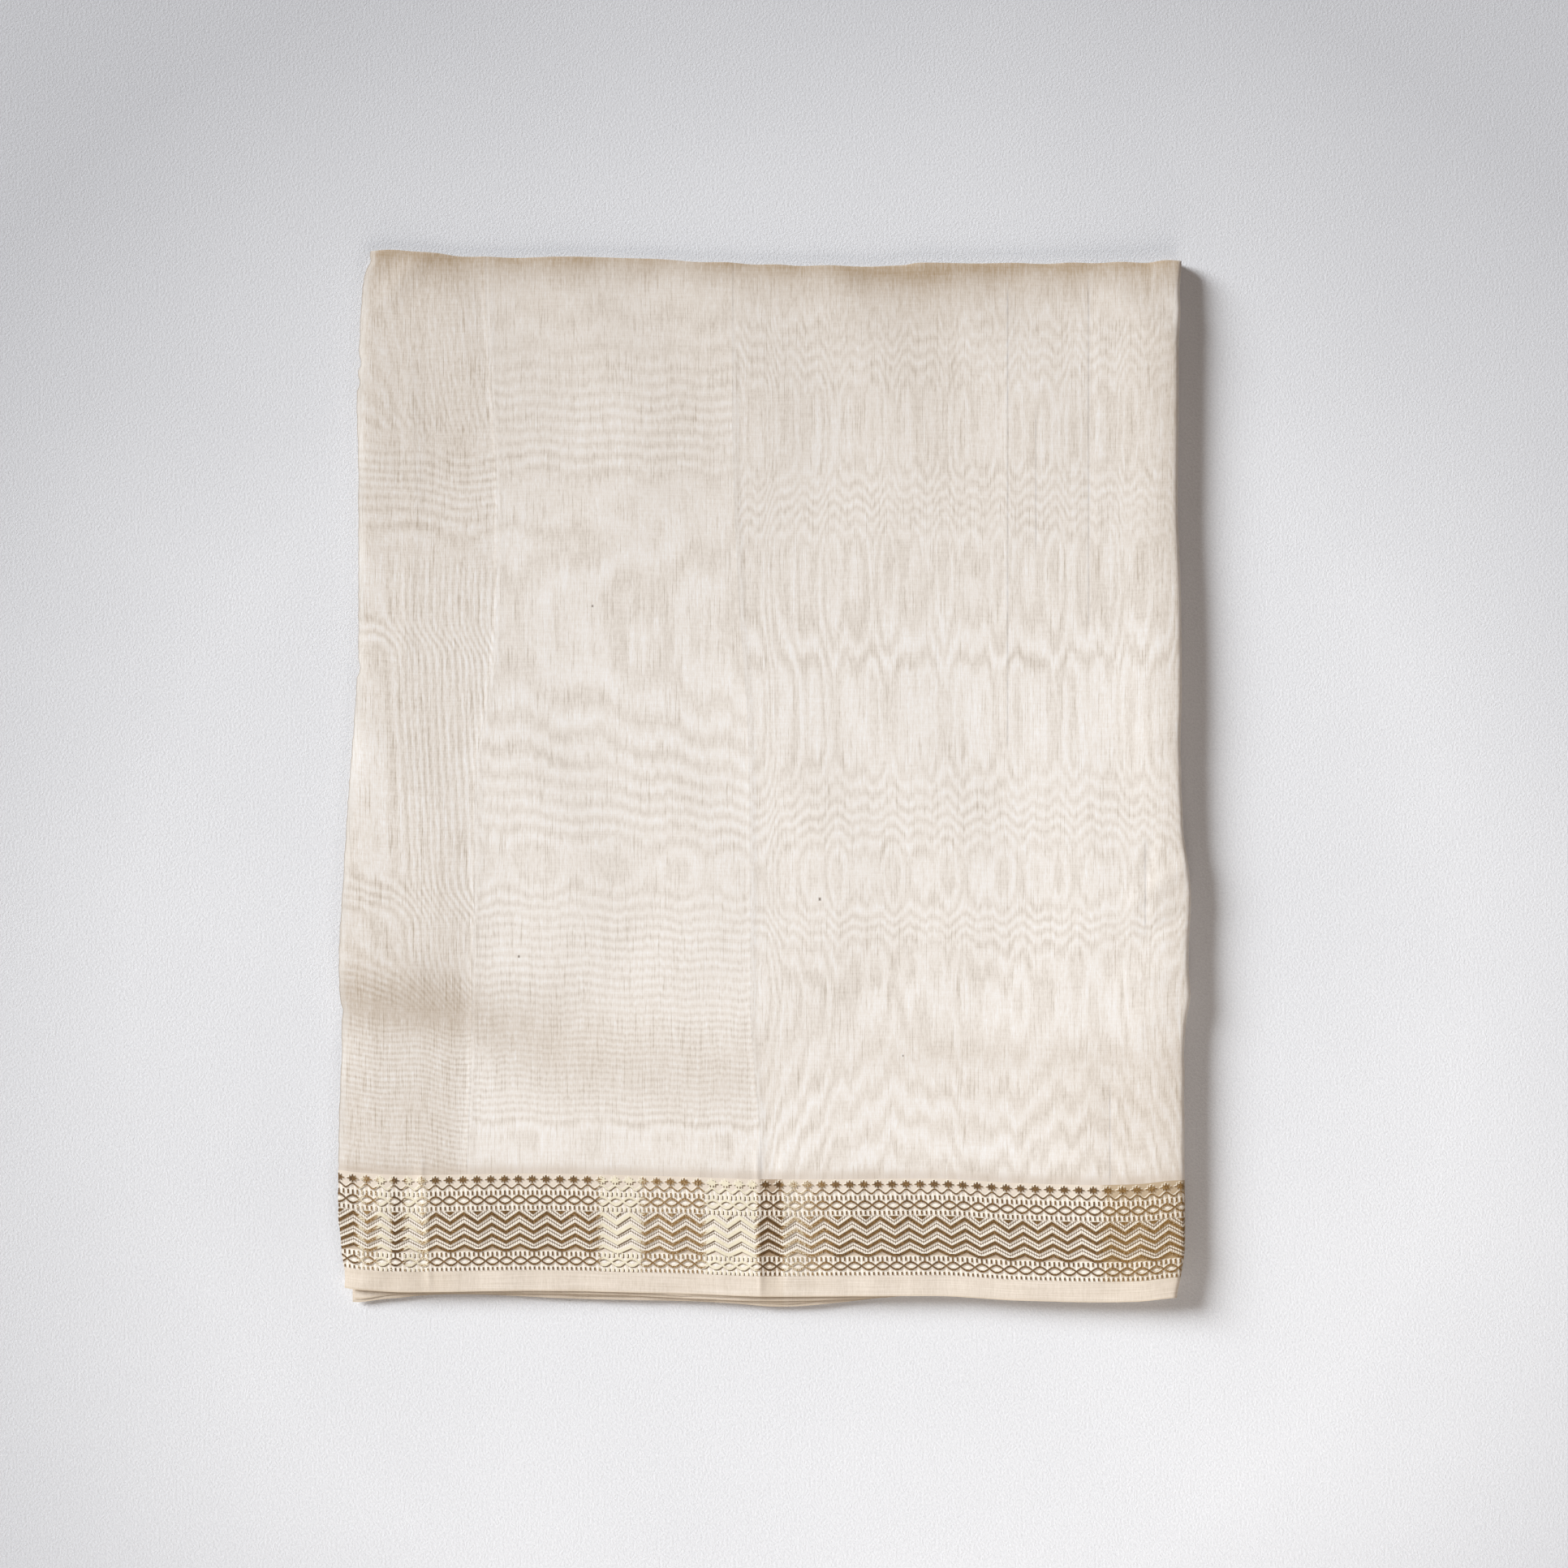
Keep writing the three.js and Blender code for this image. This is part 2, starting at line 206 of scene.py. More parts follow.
print("columns:", len(columns), "field rows:", len(field_rows))

# %% A point of the stack at a column and a row


def stack_point(column, row, depth=0.0):
    """The point at a column and a row, sunk below the outer face by a depth."""
    inset, share, reach, turn = (column[:, None, k] for k in range(4))
    row_inset, row_share, row_reach, row_turn = (row[None, :, k] for k in range(4))
    middle_y = mix(selvedge_y(0.0) + row_inset, top_y(0.0) - FOLD_TOP, row_share)
    middle_y = middle_y + FOLD_TOP * row_reach
    left = left_x(middle_y) + inset
    right = right_x(middle_y) - FOLD_RIGHT
    x = mix(left, right, share) + (FOLD_RIGHT - depth) * reach
    low = selvedge_y(x) + row_inset
    high = top_y(x) - FOLD_TOP
    y = mix(low, high, row_share) + (FOLD_TOP - depth) * row_reach
    height = stack_height(x, y)
    middle = height / 2
    above = middle + (height - depth - middle) * turn * row_turn
    below = middle + (middle - depth) * turn
    return x, y, np.where(turn >= 0, above, below)


# %% [markdown]
# ## Creases and swells
# Silk that has lain folded keeps sharp little ridges where an inner ply ends, and between
# them it swells softly. Each crease is a row of its own: the line it follows, how wide it
# is, how far it stands up or sinks, and how much lower the cloth lies on its left. None is
# repeated, because a real fold never is.

# %% The creases
CREASES = [
    # line as (y, x) rows, half width, ridge, step down to the left
    ([(286, -152.5), (146, -146), (102, -146), (50, -150.3), (4, -157.6), (-80, -158.8),
      (-214, -162.3), (-240, -163)], 1.7, 0.14, 0.16),
    ([(240, -16.5), (200, -16.5), (110, -13.5), (14, -7.6), (-67, -6.7), (-122, -6.7),
      (-214, -0.9)], 1.5, 0.12, -0.08),
    ([(272, 178.6), (180, 178.0), (80, 178.8)], 1.4, -0.16, 0.05),
    ([(285, 133.0), (60, 135.5), (-30, 134.0)], 2.2, 0.08, 0.0),
    ([(-28, 212.5), (-60, 209.2), (-86, 207.4)], 1.8, -0.42, 0.12),
    ([(-160, 188.6), (-190, 189.8), (-228, 191.2)], 1.6, -0.22, 0.06),
    ([(-205, -189.5), (-245, -186.2), (-284, -184.6)], 1.7, 0.42, 0.20),
    ([(-200, -4.2), (-240, -3.2), (-288, -2.0)], 1.5, 0.34, -0.26),
    ([(-200, 9.0), (-240, 10.2), (-288, 11.4)], 1.7, 0.30, 0.28),
    ([(-222, -212.0), (-255, -210.0), (-284, -211.5)], 2.4, 0.26, 0.0),
    ([(-222, 186.0), (-260, 184.5), (-286, 186.0)], 2.2, -0.20, 0.08),
    ([(240, -196.0), (150, -193.0), (60, -197.0)], 3.0, 0.12, 0.0),
]
crease_lines = [curve_through(sorted(line)) for line, *rest in CREASES]

# soft folds: (x, y) to (x, y), half width, height
SOFT_FOLDS = [
    ((236, -44), (206, -66), 5.0, 0.55),
    ((236, -72), (212, -84), 4.0, -0.45),
    ((236, -100), (200, -112), 6.0, 0.40),
    ((236, -132), (214, -140), 5.0, -0.35),
    ((232, 30), (214, 24), 6.0, 0.30),
    ((230, 236), (196, 262), 8.0, 0.45),
    ((60, 276), (130, 272), 7.0, -0.55),
    ((-120, 276), (-30, 270), 9.0, -0.30),
    ((-205, 268), (-190, 285), 6.0, 0.40),
    ((-232, -90), (-196, -104), 9.0, 0.45),
    ((-232, 30), (-205, 10), 10.0, 0.35),
    ((20, -150), (150, -160), 18.0, -0.12),
    ((150, -160), (228, -176), 15.0, -0.08),
    ((-226, -282), (-198, -262), 5.0, 0.35),
    ((100, -286), (180, -278), 6.0, 0.45),
    ((-60, -284), (-10, -279), 4.0, -0.25),
    ((-135, -148), (-12, -164), 13.0, -0.40),
]


def near_line(x, y, start, end, half):
    """1 along a short line, fading to 0 at its sides and past its ends."""
    (x0, y0), (x1, y1) = start, end
    length = np.hypot(x1 - x0, y1 - y0)
    along = ((x - x0) * (x1 - x0) + (y - y0) * (y1 - y0)) / length
    aside = ((x - x0) * (y1 - y0) - (y - y0) * (x1 - x0)) / length
    past = np.maximum(0, np.abs(along - length / 2) - length / 2)
    return np.exp(-(aside / half) ** 2 - (past / (1.5 * half)) ** 2)


def relief(x, y):
    """How far the cloth stands above the plain form, in millimetres."""
    lift = 0.28 * np.sin(x / 33 + 0.8 * np.sin(y / 61)) * np.sin(y / 47 + 1.1)
    lift = lift + 0.14 * np.sin(x / 11.5 + 1.7 * np.sin(y / 39)) * np.cos(y / 83 + 0.4)
    for (line, half, ridge, step), curve in zip(CREASES, crease_lines):
        ends = [row[0] for row in line]
        fade = smooth_step(y, min(ends) - 2, min(ends) + 12)
        fade = fade * (1 - smooth_step(y, max(ends) - 12, max(ends) + 2))
        off = (x - curve(y)) / half
        lift = lift + fade * ridge * np.exp(-off * off)
        lift = lift - fade * step * (1 - smooth_step(off, -2, 2)) * np.exp(-np.abs(off) / 9)
    for start, end, half, height in SOFT_FOLDS:
        lift = lift + height * near_line(x, y, start, end, half)
    band = smooth_step(selvedge_y(x) + 78 - y, 0, 30)
    ripple = 0.16 * np.sin(x / 3.9 + 2 * np.sin(x / 41)) * np.sin(y / 13 + x / 70)
    return lift + band * ripple


probe = relief(np.linspace(-220, 220, 400)[:, None], np.linspace(-280, 270, 400)[None, :])
print("relief from", round(float(probe.min()), 2), "to", round(float(probe.max()), 2), "mm")

# %% [markdown]
# ## Ripples from plies over plies
# Two sheer plies over each other show ripples wherever their threads drift in and out of
# step. How far they are out of step grows along the cloth at a rate that changes, so a
# table gives that rate for each panel between the creases, and adding it up gives the
# count of ripples passed. Where the rate falls to nothing, the ripples close into rings.

# %% How many stars of the border have been passed
# across in mm, stars
STAR_COUNT = [(-302.8, -10), (-226.7, 0), (-150.6, 10), (-29.0, 26), (0.45, 30), (100.8, 43),
              (164.4, 51), (228.0, 59), (291.6, 67)]
STAR_LEVEL = 61.5


def repeats(u, v):
    """Repeats passed on the way across. The rows lean, more so to the right."""
    lean = mix(0.02, 0.062, smooth_step(u, -200, 100))
    place, count = np.array(STAR_COUNT).T
    return np.interp(u - lean * (STAR_LEVEL - v), place, count)


# %% How many ripples have been passed
# y, ripples per mm, strength
RIPPLE_TABLES = {
    "left": [
        (285, 0.02, 0.35), (215, 0.03, 0.5), (180, 0.13, 0.6), (160, 0.22, 0.65), (141, 0.14, 0.6),
        (120, 0.01, 0.8), (90, 0.0, 0.75), (73, 0.17, 0.8), (58, 0.01, 0.8), (-54, 0.0, 0.85),
        (-74, 0.20, 0.8), (-90, 0.01, 0.75), (-108, 0.1, 0.6), (-120, 0.27, 0.75),
        (-152, 0.32, 0.75), (-216, 0.32, 0.65),
    ],
    "middle": [
        (285, 0.02, 0.5), (240, 0.06, 0.6), (215, 0.14, 0.75), (190, 0.15, 0.9), (172, 0.13, 0.9),
        (160, 0.03, 0.6), (148, 0.015, 0.7), (137, 0.045, 0.9), (118, 0.04, 0.95), (100, 0.012, 1.2),
        (82, 0.0, 1.2), (62, -0.012, 1.2), (45, -0.04, 1.1), (9, -0.07, 1.0), (-5, -0.11, 1.0),
        (-27, -0.14, 1.0), (-38, -0.10, 0.9), (-53, 0.0, 0.6), (-67, 0.11, 0.8), (-85, 0.186, 0.9),
        (-119, 0.19, 0.8), (-132, 0.25, 0.9), (-153, 0.28, 0.95), (-183, 0.27, 0.9),
        (-194, 0.09, 1.2), (-201, 0.0, 0.8), (-216, -0.04, 0.8),
    ],
    "right": [
        (285, -0.01, 0.5), (262, -0.03, 0.7), (246, -0.10, 0.85), (231, -0.13, 0.9),
        (217, -0.08, 0.9), (203, -0.01, 0.9), (182, 0.0, 0.9), (168, 0.09, 0.9), (151, 0.15, 1.0),
        (137, 0.11, 0.9), (122, 0.01, 0.9), (107, 0.0, 1.0), (75, -0.045, 1.2), (66, -0.056, 1.6),
        (52, -0.01, 1.0), (24, 0.0, 1.0), (-9, 0.11, 0.9), (-25, 0.148, 1.1), (-41, 0.07, 0.9),
        (-54, 0.0, 1.0), (-67, -0.07, 0.9), (-81, -0.172, 1.1), (-94, -0.07, 0.9),
        (-116, 0.0, 1.1), (-152, 0.034, 0.8), (-188, 0.051, 1.2), (-210, 0.045, 1.2),
    ],
}


def ripple_count(table):
    """Ripples passed on the way along y, and their strength there."""
    rows = sorted(table)
    rate = curve_through([(y, rate) for y, rate, strength in rows])
    fine = np.linspace(-300, 300, 6001)
    count = np.concatenate([[0], np.cumsum(rate(fine[1:]) * np.diff(fine))])
    strength = curve_through([(y, strength) for y, rate, strength in rows])
    return lambda y: (np.interp(y, fine, count), strength(y))


panel_ripples = {name: ripple_count(table) for name, table in RIPPLE_TABLES.items()}
RING_LEVEL = 82.0
LEFT_LEVELS = (-131, 124, 186)


def left_ripples(x, y):
    """Upright lines between two levels and above the third, level ones elsewhere."""
    count, strength = panel_ripples["left"](y + 0.12 * x + 18)
    low, middle, high = LEFT_LEVELS
    level = y + 0.1 * (x + 190)
    is_upright = (level > high) | ((level > low) & (level < middle))
    upright = 1.3 * np.logaddexp(0, (x + 204 + 2 * np.sin(y / 37)) / 5)
    upright = np.where(is_upright, upright, 0.4 * np.sin(x / 7.3))
    for change in LEFT_LEVELS:
        strength = strength * (1 - hump(level, change, 4.5))
    return count + upright + 0.25 * np.sin(x / 6.1 + y / 60), strength


def middle_ripples(x, y):
    """Rings round a point of the middle crease, and a row of lenses below them."""
    count, strength = panel_ripples["middle"](y + 0.02 * x)
    count = count - panel_ripples["middle"](RING_LEVEL)[0] + 0.2
    rings = 0.6 * (np.hypot(x + 7.6, 6) / 26) ** 0.75
    rings = rings * smooth_step(y, -80, 10) * (1 - smooth_step(y, 125, 150))
    lenses = 0.17 + 0.2 * hump(y, -54, 16)
    return count + rings + lenses * np.sin(x / 5.2 + 1.5 * np.sin(x / 31) + y / 80), strength


def right_ripples(x, y):
    """Peaks side by side, wide arches low down, and lines that stream down both sides."""
    count, strength = panel_ripples["right"](y)
    streams = np.logaddexp(0, (26 - x) / 6.5) + 0.8 * np.logaddexp(0, (x - 192) / 9)
    peaks = 0.30 * np.cos(x / 4.6 + 0.5) + 0.34 * np.cos(x / 2.45 + 0.8 * np.sin(y / 70))
    low_down = 1 - smooth_step(y, -125, -95)
    peaks = peaks * (1 - 0.4 * low_down + 0.6 * smooth_step(y, 100, 130))
    arches = 0.75 * np.sin(x / 17.5 + 0.4) * low_down
    return count + streams + peaks + arches, strength


def ripples(x, y):
    """Ripples passed at a point, and how strongly they show there."""
    panels = zip(left_ripples(x, y), middle_ripples(x, y), right_ripples(x, y))
    is_left = x < crease_lines[0](y)
    is_middle = x < crease_lines[1](y)
    return [np.where(is_left, left, np.where(is_middle, middle, right))
            for left, middle, right in panels]


# centre line of the painted shade in the soft trough
trough_shade_line = curve_through([
    (-235, -117), (-224, -119), (-166, -129), (-133, -145), (-70, -155), (-7, -165),
])


def painted_shade(x, y):
    """Painted brown shade where the cloth turns away, partly real browning where plies lie deep."""
    # the turn over the long fold
    deep = hump(x, 95, 75)
    aside = hump(x, -165, 70) + 0.8 * hump(x, 225, 40)
    reach = 9 + 5 * deep + 3 * aside
    at_top = (0.92 + 0.55 * deep + 0.15 * aside) * np.exp(-((top_y(x) - y) / reach))
    uneven = 0.82 + 0.18 * np.sin(x / 21) * np.sin(x / 8.7 + 1)
    # the soft trough at the lower left, and two faint ones to its right
    half_width = mix(17, 26, smooth_step(x, -170, -110))
    trough = hump(y, trough_shade_line(x), half_width)
    trough = trough * mix(0.35, 0.18, smooth_step(x, -165, -20))
    trough = trough * (1 - smooth_step(x, -20, 30))
    lower = 0.12 * hump(y, -153, 10) + 0.08 * hump(y, -180, 20)
    lower = lower * smooth_step(x, 20, 90)
    # the sides, the thick fold and the strip above the border
    left_side = mix(0.27, 0.11, smooth_step(y, -200, 0))
    left_side = left_side * (1 - smooth_step(x - crease_lines[0](y), -14, 4))
    far_side = 0.15 * smooth_step(y, 40, 230)
    near_fold = 0.25 * np.exp((x - right_x(y)) / 15)
    near_fold = near_fold + 0.15 * hump(x, 200, 26) * (1 - smooth_step(y, -185, -130))
    near_border = 0.12 * (1 - smooth_step(y - selvedge_y(x), 64, 82))
    sides = left_side + far_side + near_fold + near_border
    return np.clip(at_top * uneven + trough + lower + sides, 0, 1)


print("ripples between the border and the fold:",
      {name: round(float(np.ptp(f(np.linspace(-215, 285, 500))[0])), 1)
       for name, f in panel_ripples.items()})

# %% [markdown]
# ## Grids of cloth
# Each stretch of cloth starts as Blender's own flat grid. Its points are moved onto the
# form, so rows and columns of faces run like the threads do. The UV map holds real
# lengths along the cloth, in metres, and keeps counting round a fold, so the weave and the
# border run on round it. A Solidify modifier then gives the thin ply its wall.

# %% A grid moved onto the form


def arc_length(points, axis):
    """Length along one axis of a grid of points, from its first point."""
    step = np.linalg.norm(np.diff(points, axis=axis), axis=-1)
    start = np.zeros_like(np.take(step, [0], axis=axis))
    return np.cumsum(np.concatenate([start, step], axis=axis), axis=axis)


FAR = 90.0
# for a ply with no ripples and no painted shade, and with no crease or edge near it
UNMARKED = {"ripples": 0.0, "ripple_strength": 0.0, "painted_shade": 0.0, "left_crease": FAR,
            "middle_crease": FAR, "free_edge": FAR, "fold_edge": FAR, "repeat": 0.0}


def cloth_mesh(name, points, along_u, along_v, attributes):
    """A mesh from Blender's grid, with its points, its UV map in metres and attributes."""
    across, along = points.shape[:2]
    bm = bmesh.new()
    bmesh.ops.create_grid(bm, x_segments=across - 1, y_segments=along - 1, size=1)
    for face in bm.faces:
        face.smooth = True
    # a sharp rim keeps the wall's narrow side from shading the faces next to it
    for edge in bm.edges:
        edge.smooth = not edge.is_boundary
    mesh = bpy.data.meshes.new(name)
    bm.to_mesh(mesh)
    bm.free()
    flat = np.empty(len(mesh.vertices) * 3)
    mesh.vertices.foreach_get("co", flat)
    flat = flat.reshape(-1, 3)
    i = np.rint((flat[:, 0] + 1) / 2 * (across - 1)).astype(int)
    j = np.rint((flat[:, 1] + 1) / 2 * (along - 1)).astype(int)
    mesh.vertices.foreach_set("co", (points[i, j] * MM).ravel())
    corner = np.empty(len(mesh.loops), int)
    mesh.loops.foreach_get("vertex_index", corner)
    uv = np.stack([along_u[i, j], along_v[i, j]], axis=1)[corner] * MM
    mesh.uv_layers.new(name="cloth").uv.foreach_set("vector", uv.ravel())
    for label, values in {**UNMARKED, **attributes}.items():
        values = np.broadcast_to(values, points.shape[:2])
        layer = mesh.attributes.new(label, "FLOAT", "POINT")
        layer.data.foreach_set("value", values[i, j].ravel())
    mesh.update()
    return mesh


# thickness of a ply's wall, in mm
TOP_PLY = 0.3
INNER_PLY = 0.25


def piece_of(name, meshes, thickness):
    """One object from one or more meshes, with the ply's wall on their inner side."""
    joined = bpy.data.objects.new(name, meshes[0])
    scene.collection.objects.link(joined)
    if len(meshes) > 1:
        others = [bpy.data.objects.new(name + "_part", mesh) for mesh in meshes[1:]]
        for other in others:
            scene.collection.objects.link(other)
        with bpy.context.temp_override(
            active_object=joined, selected_editable_objects=[joined, *others]
        ):
            bpy.ops.object.join()
    wall = joined.modifiers.new("ply", "SOLIDIFY")
    wall.thickness = thickness * MM
    wall.offset = -1
    wall.use_even_offset = True
    return joined


def area_of(obj):
    return sum(face.area for face in obj.data.polygons)


# %% [markdown]
# ## The top ply
# The ply on top shows as three stretches: the sheer field, the metal-thread border and the
# plain selvedge. They are one cloth, so all three use the same columns, and each starts on
# the row where the last one stops. The relief is strongest on the flat and dies away as
# the cloth turns under. Small notches along the free left edge come from its loose threads.

# %% Laying the top ply
NOTCH_LEVELS = (284, 228, 217, 60, -128)


def top_ply(name, rows):
    """One stretch of the top ply, from the rows that it covers."""
    x, y, z = stack_point(columns, rows)
    turn = np.clip(columns[:, None, 3], 0, 1) * np.clip(rows[None, :, 3], 0, 1)
    lifted = z + relief(x, y) * turn
    free = 1 - np.clip(columns[:, 0], 0, OVERHANG) / OVERHANG
    frayed = 0.16 * np.sin(y / 2.3 + 3 * np.sin(y / 17)) + 0.12 * np.sin(y / 0.9)
    notches = sum(hump(y, level, 3.2) for level in NOTCH_LEVELS)
    x = x + free[:, None] * (frayed + 1.6 * notches)
    lifted = lifted - free[:, None] * (0.14 + 0.14 * np.sin(y / 9.0))
    pucker = 0.35 * np.sin(y / 4.7 + 2 * np.sin(y / 23)) * hump(y, -80, 90)
    x = x + columns[:, None, 2] * pucker
    corner = hump(x, right_x(y), 9) * hump(y, 256, 11)
    x = x + 1.5 * corner
    rolled = 0.30 * np.sin(x / 6.1 + 2 * np.sin(x / 29)) + 0.22 * np.sin(x / 15.0 + 1)
    y = y + rows[None, :, 2] * rolled
    points = np.stack([x + CENTRE_SHIFT[0], y + CENTRE_SHIFT[1], lifted], axis=-1)
    past_flat = arc_length(points, 0)
    u = np.where(columns[:, None, 2] > 0, x[FLAT_COLUMN] + past_flat - past_flat[FLAT_COLUMN], x)
    v = rows[0, 0] + arc_length(points, 1) + 0 * u
    count, strength = ripples(x, y)
    attributes = {
        "ripples": count,
        "ripple_strength": strength,
        # painted shade, less of it at the lifted corner
        "painted_shade": painted_shade(x, y) * (1 - 0.8 * corner),
        "left_crease": x - crease_lines[0](y),
        "middle_crease": x - crease_lines[1](y),
        "free_edge": x - x[:1],
        "fold_edge": x.max(axis=0) - x - 4 * corner,
        "repeat": repeats(u, v),
    }
    return piece_of(name, [cloth_mesh(name, points, u, v, attributes)], TOP_PLY)


cloth_field = top_ply("cloth_field", field_rows)
cloth_border = top_ply("cloth_border", border_rows)
cloth_selvedge = top_ply("cloth_selvedge", selvedge_rows)
for piece in (cloth_field, cloth_border, cloth_selvedge):
    print(piece.name, len(piece.data.vertices), "points", round(area_of(piece), 4), "m2")

# %% [markdown]
# ## The plies inside
# Only the edges of the inner plies show, but they show from every side. Each panel is a
# doubled ply, so its grid runs from one selvedge to the long fold, turns back there, and
# returns above itself. Its outline stays a little unlike its neighbours', and inside the
# thick fold it ends along a curve, as nested plies do.

# %% Doubled panels
INNER_PLIES = 9
PANELS = 4
ROWS_EACH_WAY = 58
GAP_BELOW = 0.35
GAPS_IN_ALL = 1.0


def level_share(ply):
    """Height of an inner ply as a share of the stack, counted from the bottom."""
    return (ply + 1) / (INNER_PLIES + 1)


def inner_height(stack, share):
    """Height of an inner ply, clear of the top ply and of the one underneath."""
    return GAP_BELOW + (stack - GAPS_IN_ALL) * share


def inner_right(y, share):
    """Where a ply ends inside the thick fold, nearer its edge at half height."""
    round_in = np.sqrt(np.clip(1 - (2 * share - 1) ** 2, 0, 1))
    return right_x(y) - FOLD_RIGHT + (FOLD_RIGHT - 1.0) * round_in


def inner_back(x, share):
    """How far back a doubled panel reaches under the top ply's lip."""
    above = np.clip((2 * share - 1 - LIP_SHARE) / (1 - LIP_SHARE), 0, 1)
    return top_y(x) - FOLD_TOP + FOLD_TOP * np.sqrt(1 - above ** 2) - 1.2


def panel_mesh(number):
    """One doubled panel, from its lower ply round the bend to its upper one."""
    lower, upper = level_share(2 * number), level_share(2 * number + 1)
    flat_share = np.linspace(0, 1, ROWS_EACH_WAY)
    bend = np.linspace(-90, 90, 9)
    inside = len(bend) - 2
    share_y = np.concatenate([flat_share, np.ones(inside), flat_share[::-1]])[None, :]
    angle = np.radians(np.repeat(bend, [ROWS_EACH_WAY, *[1] * inside, ROWS_EACH_WAY]))[None, :]
    share_z = mix(lower, upper, (np.sin(angle) + 1) / 2)
    share_x = np.linspace(0, 1, 50)[:, None]
    rough_y = mix(-270, 275, share_y)
    seed = 1.7 * number
    uneven = 1.1 * np.sin(rough_y / 31 + seed) + 0.5 * np.sin(rough_y / 7.3 + 3 * seed)
    side = np.sign(angle)
    left = left_x(rough_y) + 3.6 + 0.5 * np.sin(5 * seed) + uneven * 0.6 + 0.8 * side
    x = mix(left, inner_right(rough_y, share_z), share_x)
    back = inner_back(x, upper) - 1.0 - 0.9 * np.sin(x / 37 + 2.1 * seed) - 0.7 * (number % 2)
    front = selvedge_y(x) + CORE_SETBACK + 0 * angle
    height = stack_height(x, mix(front, back, share_y))
    radius = (upper - lower) / 2 * height
    y = mix(front, back - radius, share_y) + radius * np.cos(angle)
    swell = 0.09 * np.sin(x / 17 + seed) * np.sin(y / 23 + 2 * seed)
    z = inner_height(height, share_z) + swell
    points = np.stack([x, y, z], axis=-1)
    u = x + 0 * y
    v = CORE_SETBACK + arc_length(points, 1)
    v = np.minimum(v, v[:, -1:] - v + CORE_SETBACK) + 0 * u
    # an even painted shade on the inner panels
    attributes = {"ripples": ripples(x, y)[0], "ripple_strength": 0.6, "painted_shade": 0.35,
                  "repeat": repeats(u, v)}
    return cloth_mesh(f"panel_{number}", points, u, v, attributes)


panels = [panel_mesh(number) for number in range(PANELS)]
inner_panels = piece_of("inner_panels", panels, INNER_PLY)
print("inner panels:", round(area_of(inner_panels), 3), "m2")

# %% [markdown]
# ## The selvedges that peek out
# Below the border, inner plies reach past the top one by up to 7 mm at the left and draw
# back behind it at the right. A table gives how far the longest ply of each group reaches,
# and two more lie just behind it. Loose selvedges flutter a little, so each gets a wave.

# %% Three groups of selvedges
# where the group starts, its number from the bottom, and (across, reach) rows
SELVEDGE_GROUPS = {
    "inner_ply_selvedge_1": (-225, 2, [(-226, 0.8), (-150, 1.2), (-80, 2.0), (20, 2.6),
                                       (60, 1.4), (90, -1.0), (230, -1.6)]),
    "inner_ply_selvedge_2": (-227, 1, [(-227, 7.2), (-208, 4.0), (-181, 1.8), (-108, 4.2),
                                       (-19, 4.7), (8, 5.8), (48, 3.1), (82, 0.2),
                                       (230, -2.2)]),
    "inner_ply_selvedge_3": (-226, 0, [(-226, 4.6), (-180, 0.4), (-90, 2.8), (0, 3.6),
                                       (90, -0.6), (230, -1.2)]),
}
# how far each ply of a group lies behind its longest one
BEHIND = [0.9, 0.0, 1.6]


def selvedge_mesh(name, ply):
    """One selvedge of a group, as far as it reaches past the top ply's own."""
    start, group, reach = SELVEDGE_GROUPS[name]
    past = curve_through(reach)
    share = level_share(3 * group + ply)
    seed = 2.3 * group + 1.3 * ply
    corner_y = selvedge_y(0.0)
    stop = float(inner_right(corner_y, share))
    x = np.linspace(start + 1.1 * abs(ply - 1), stop, 120)[:, None]
    back = selvedge_y(x) + CORE_SETBACK - 0.4
    front = selvedge_y(x) - past(x) + BEHIND[ply] + 0.25 * np.sin(x / 19 + seed)
    share_y = np.linspace(0, 1, 8)[None, :]
    y = mix(front, back, share_y)
    flutter = 0.16 * np.sin(x / 9 + seed) + 0.10 * np.sin(x / 3.7 + 2 * seed)
    z = inner_height(stack_height(x, selvedge_y(x)), share) + flutter * (1 - share_y) ** 2
    points = np.stack(np.broadcast_arrays(x, y, z), axis=-1)
    u = x + 0 * y
    # an even painted shade on the peeking selvedges
    return cloth_mesh(f"{name}_{ply}", points, u, y - front, {"painted_shade": 0.25})


peeking = []
for node_name in SELVEDGE_GROUPS:
    plies = [selvedge_mesh(node_name, ply) for ply in range(3)]
    peeking.append(piece_of(node_name.replace("inner_ply", "peeking"), plies, INNER_PLY))
print("peeking selvedges:", [piece.name for piece in peeking])

# %% [markdown]
# ## The ply underneath
# The last ply lies flat on the table, from the loose ends to the thick fold. It is the
# same cloth as the top ply, so it has a field, a border and a selvedge too. It keeps its
# pressed creases as shallow grooves, which leave its flat face resting on the table.

# %% A flat ply with grooves
UNDER_LEFT = 1.6
UNDER_FRONT = 1.2
UNDER_BACK_REACH = 0.85
under_columns = np.concatenate([
    stations([UNDER_LEFT]),
    stations(OVERHANG, np.linspace(0, 1, 150)),
])
under_rows = np.concatenate([
    stations(np.linspace(UNDER_FRONT, SELVEDGE_BAND, 5)),
    stations(np.linspace(SELVEDGE_BAND, BORDER_TOP, 16)[1:]),
    stations(BORDER_TOP, np.linspace(0, 1, 140)[1:]),
    stations(BORDER_TOP, 1.0, [0.4, UNDER_BACK_REACH]),
])


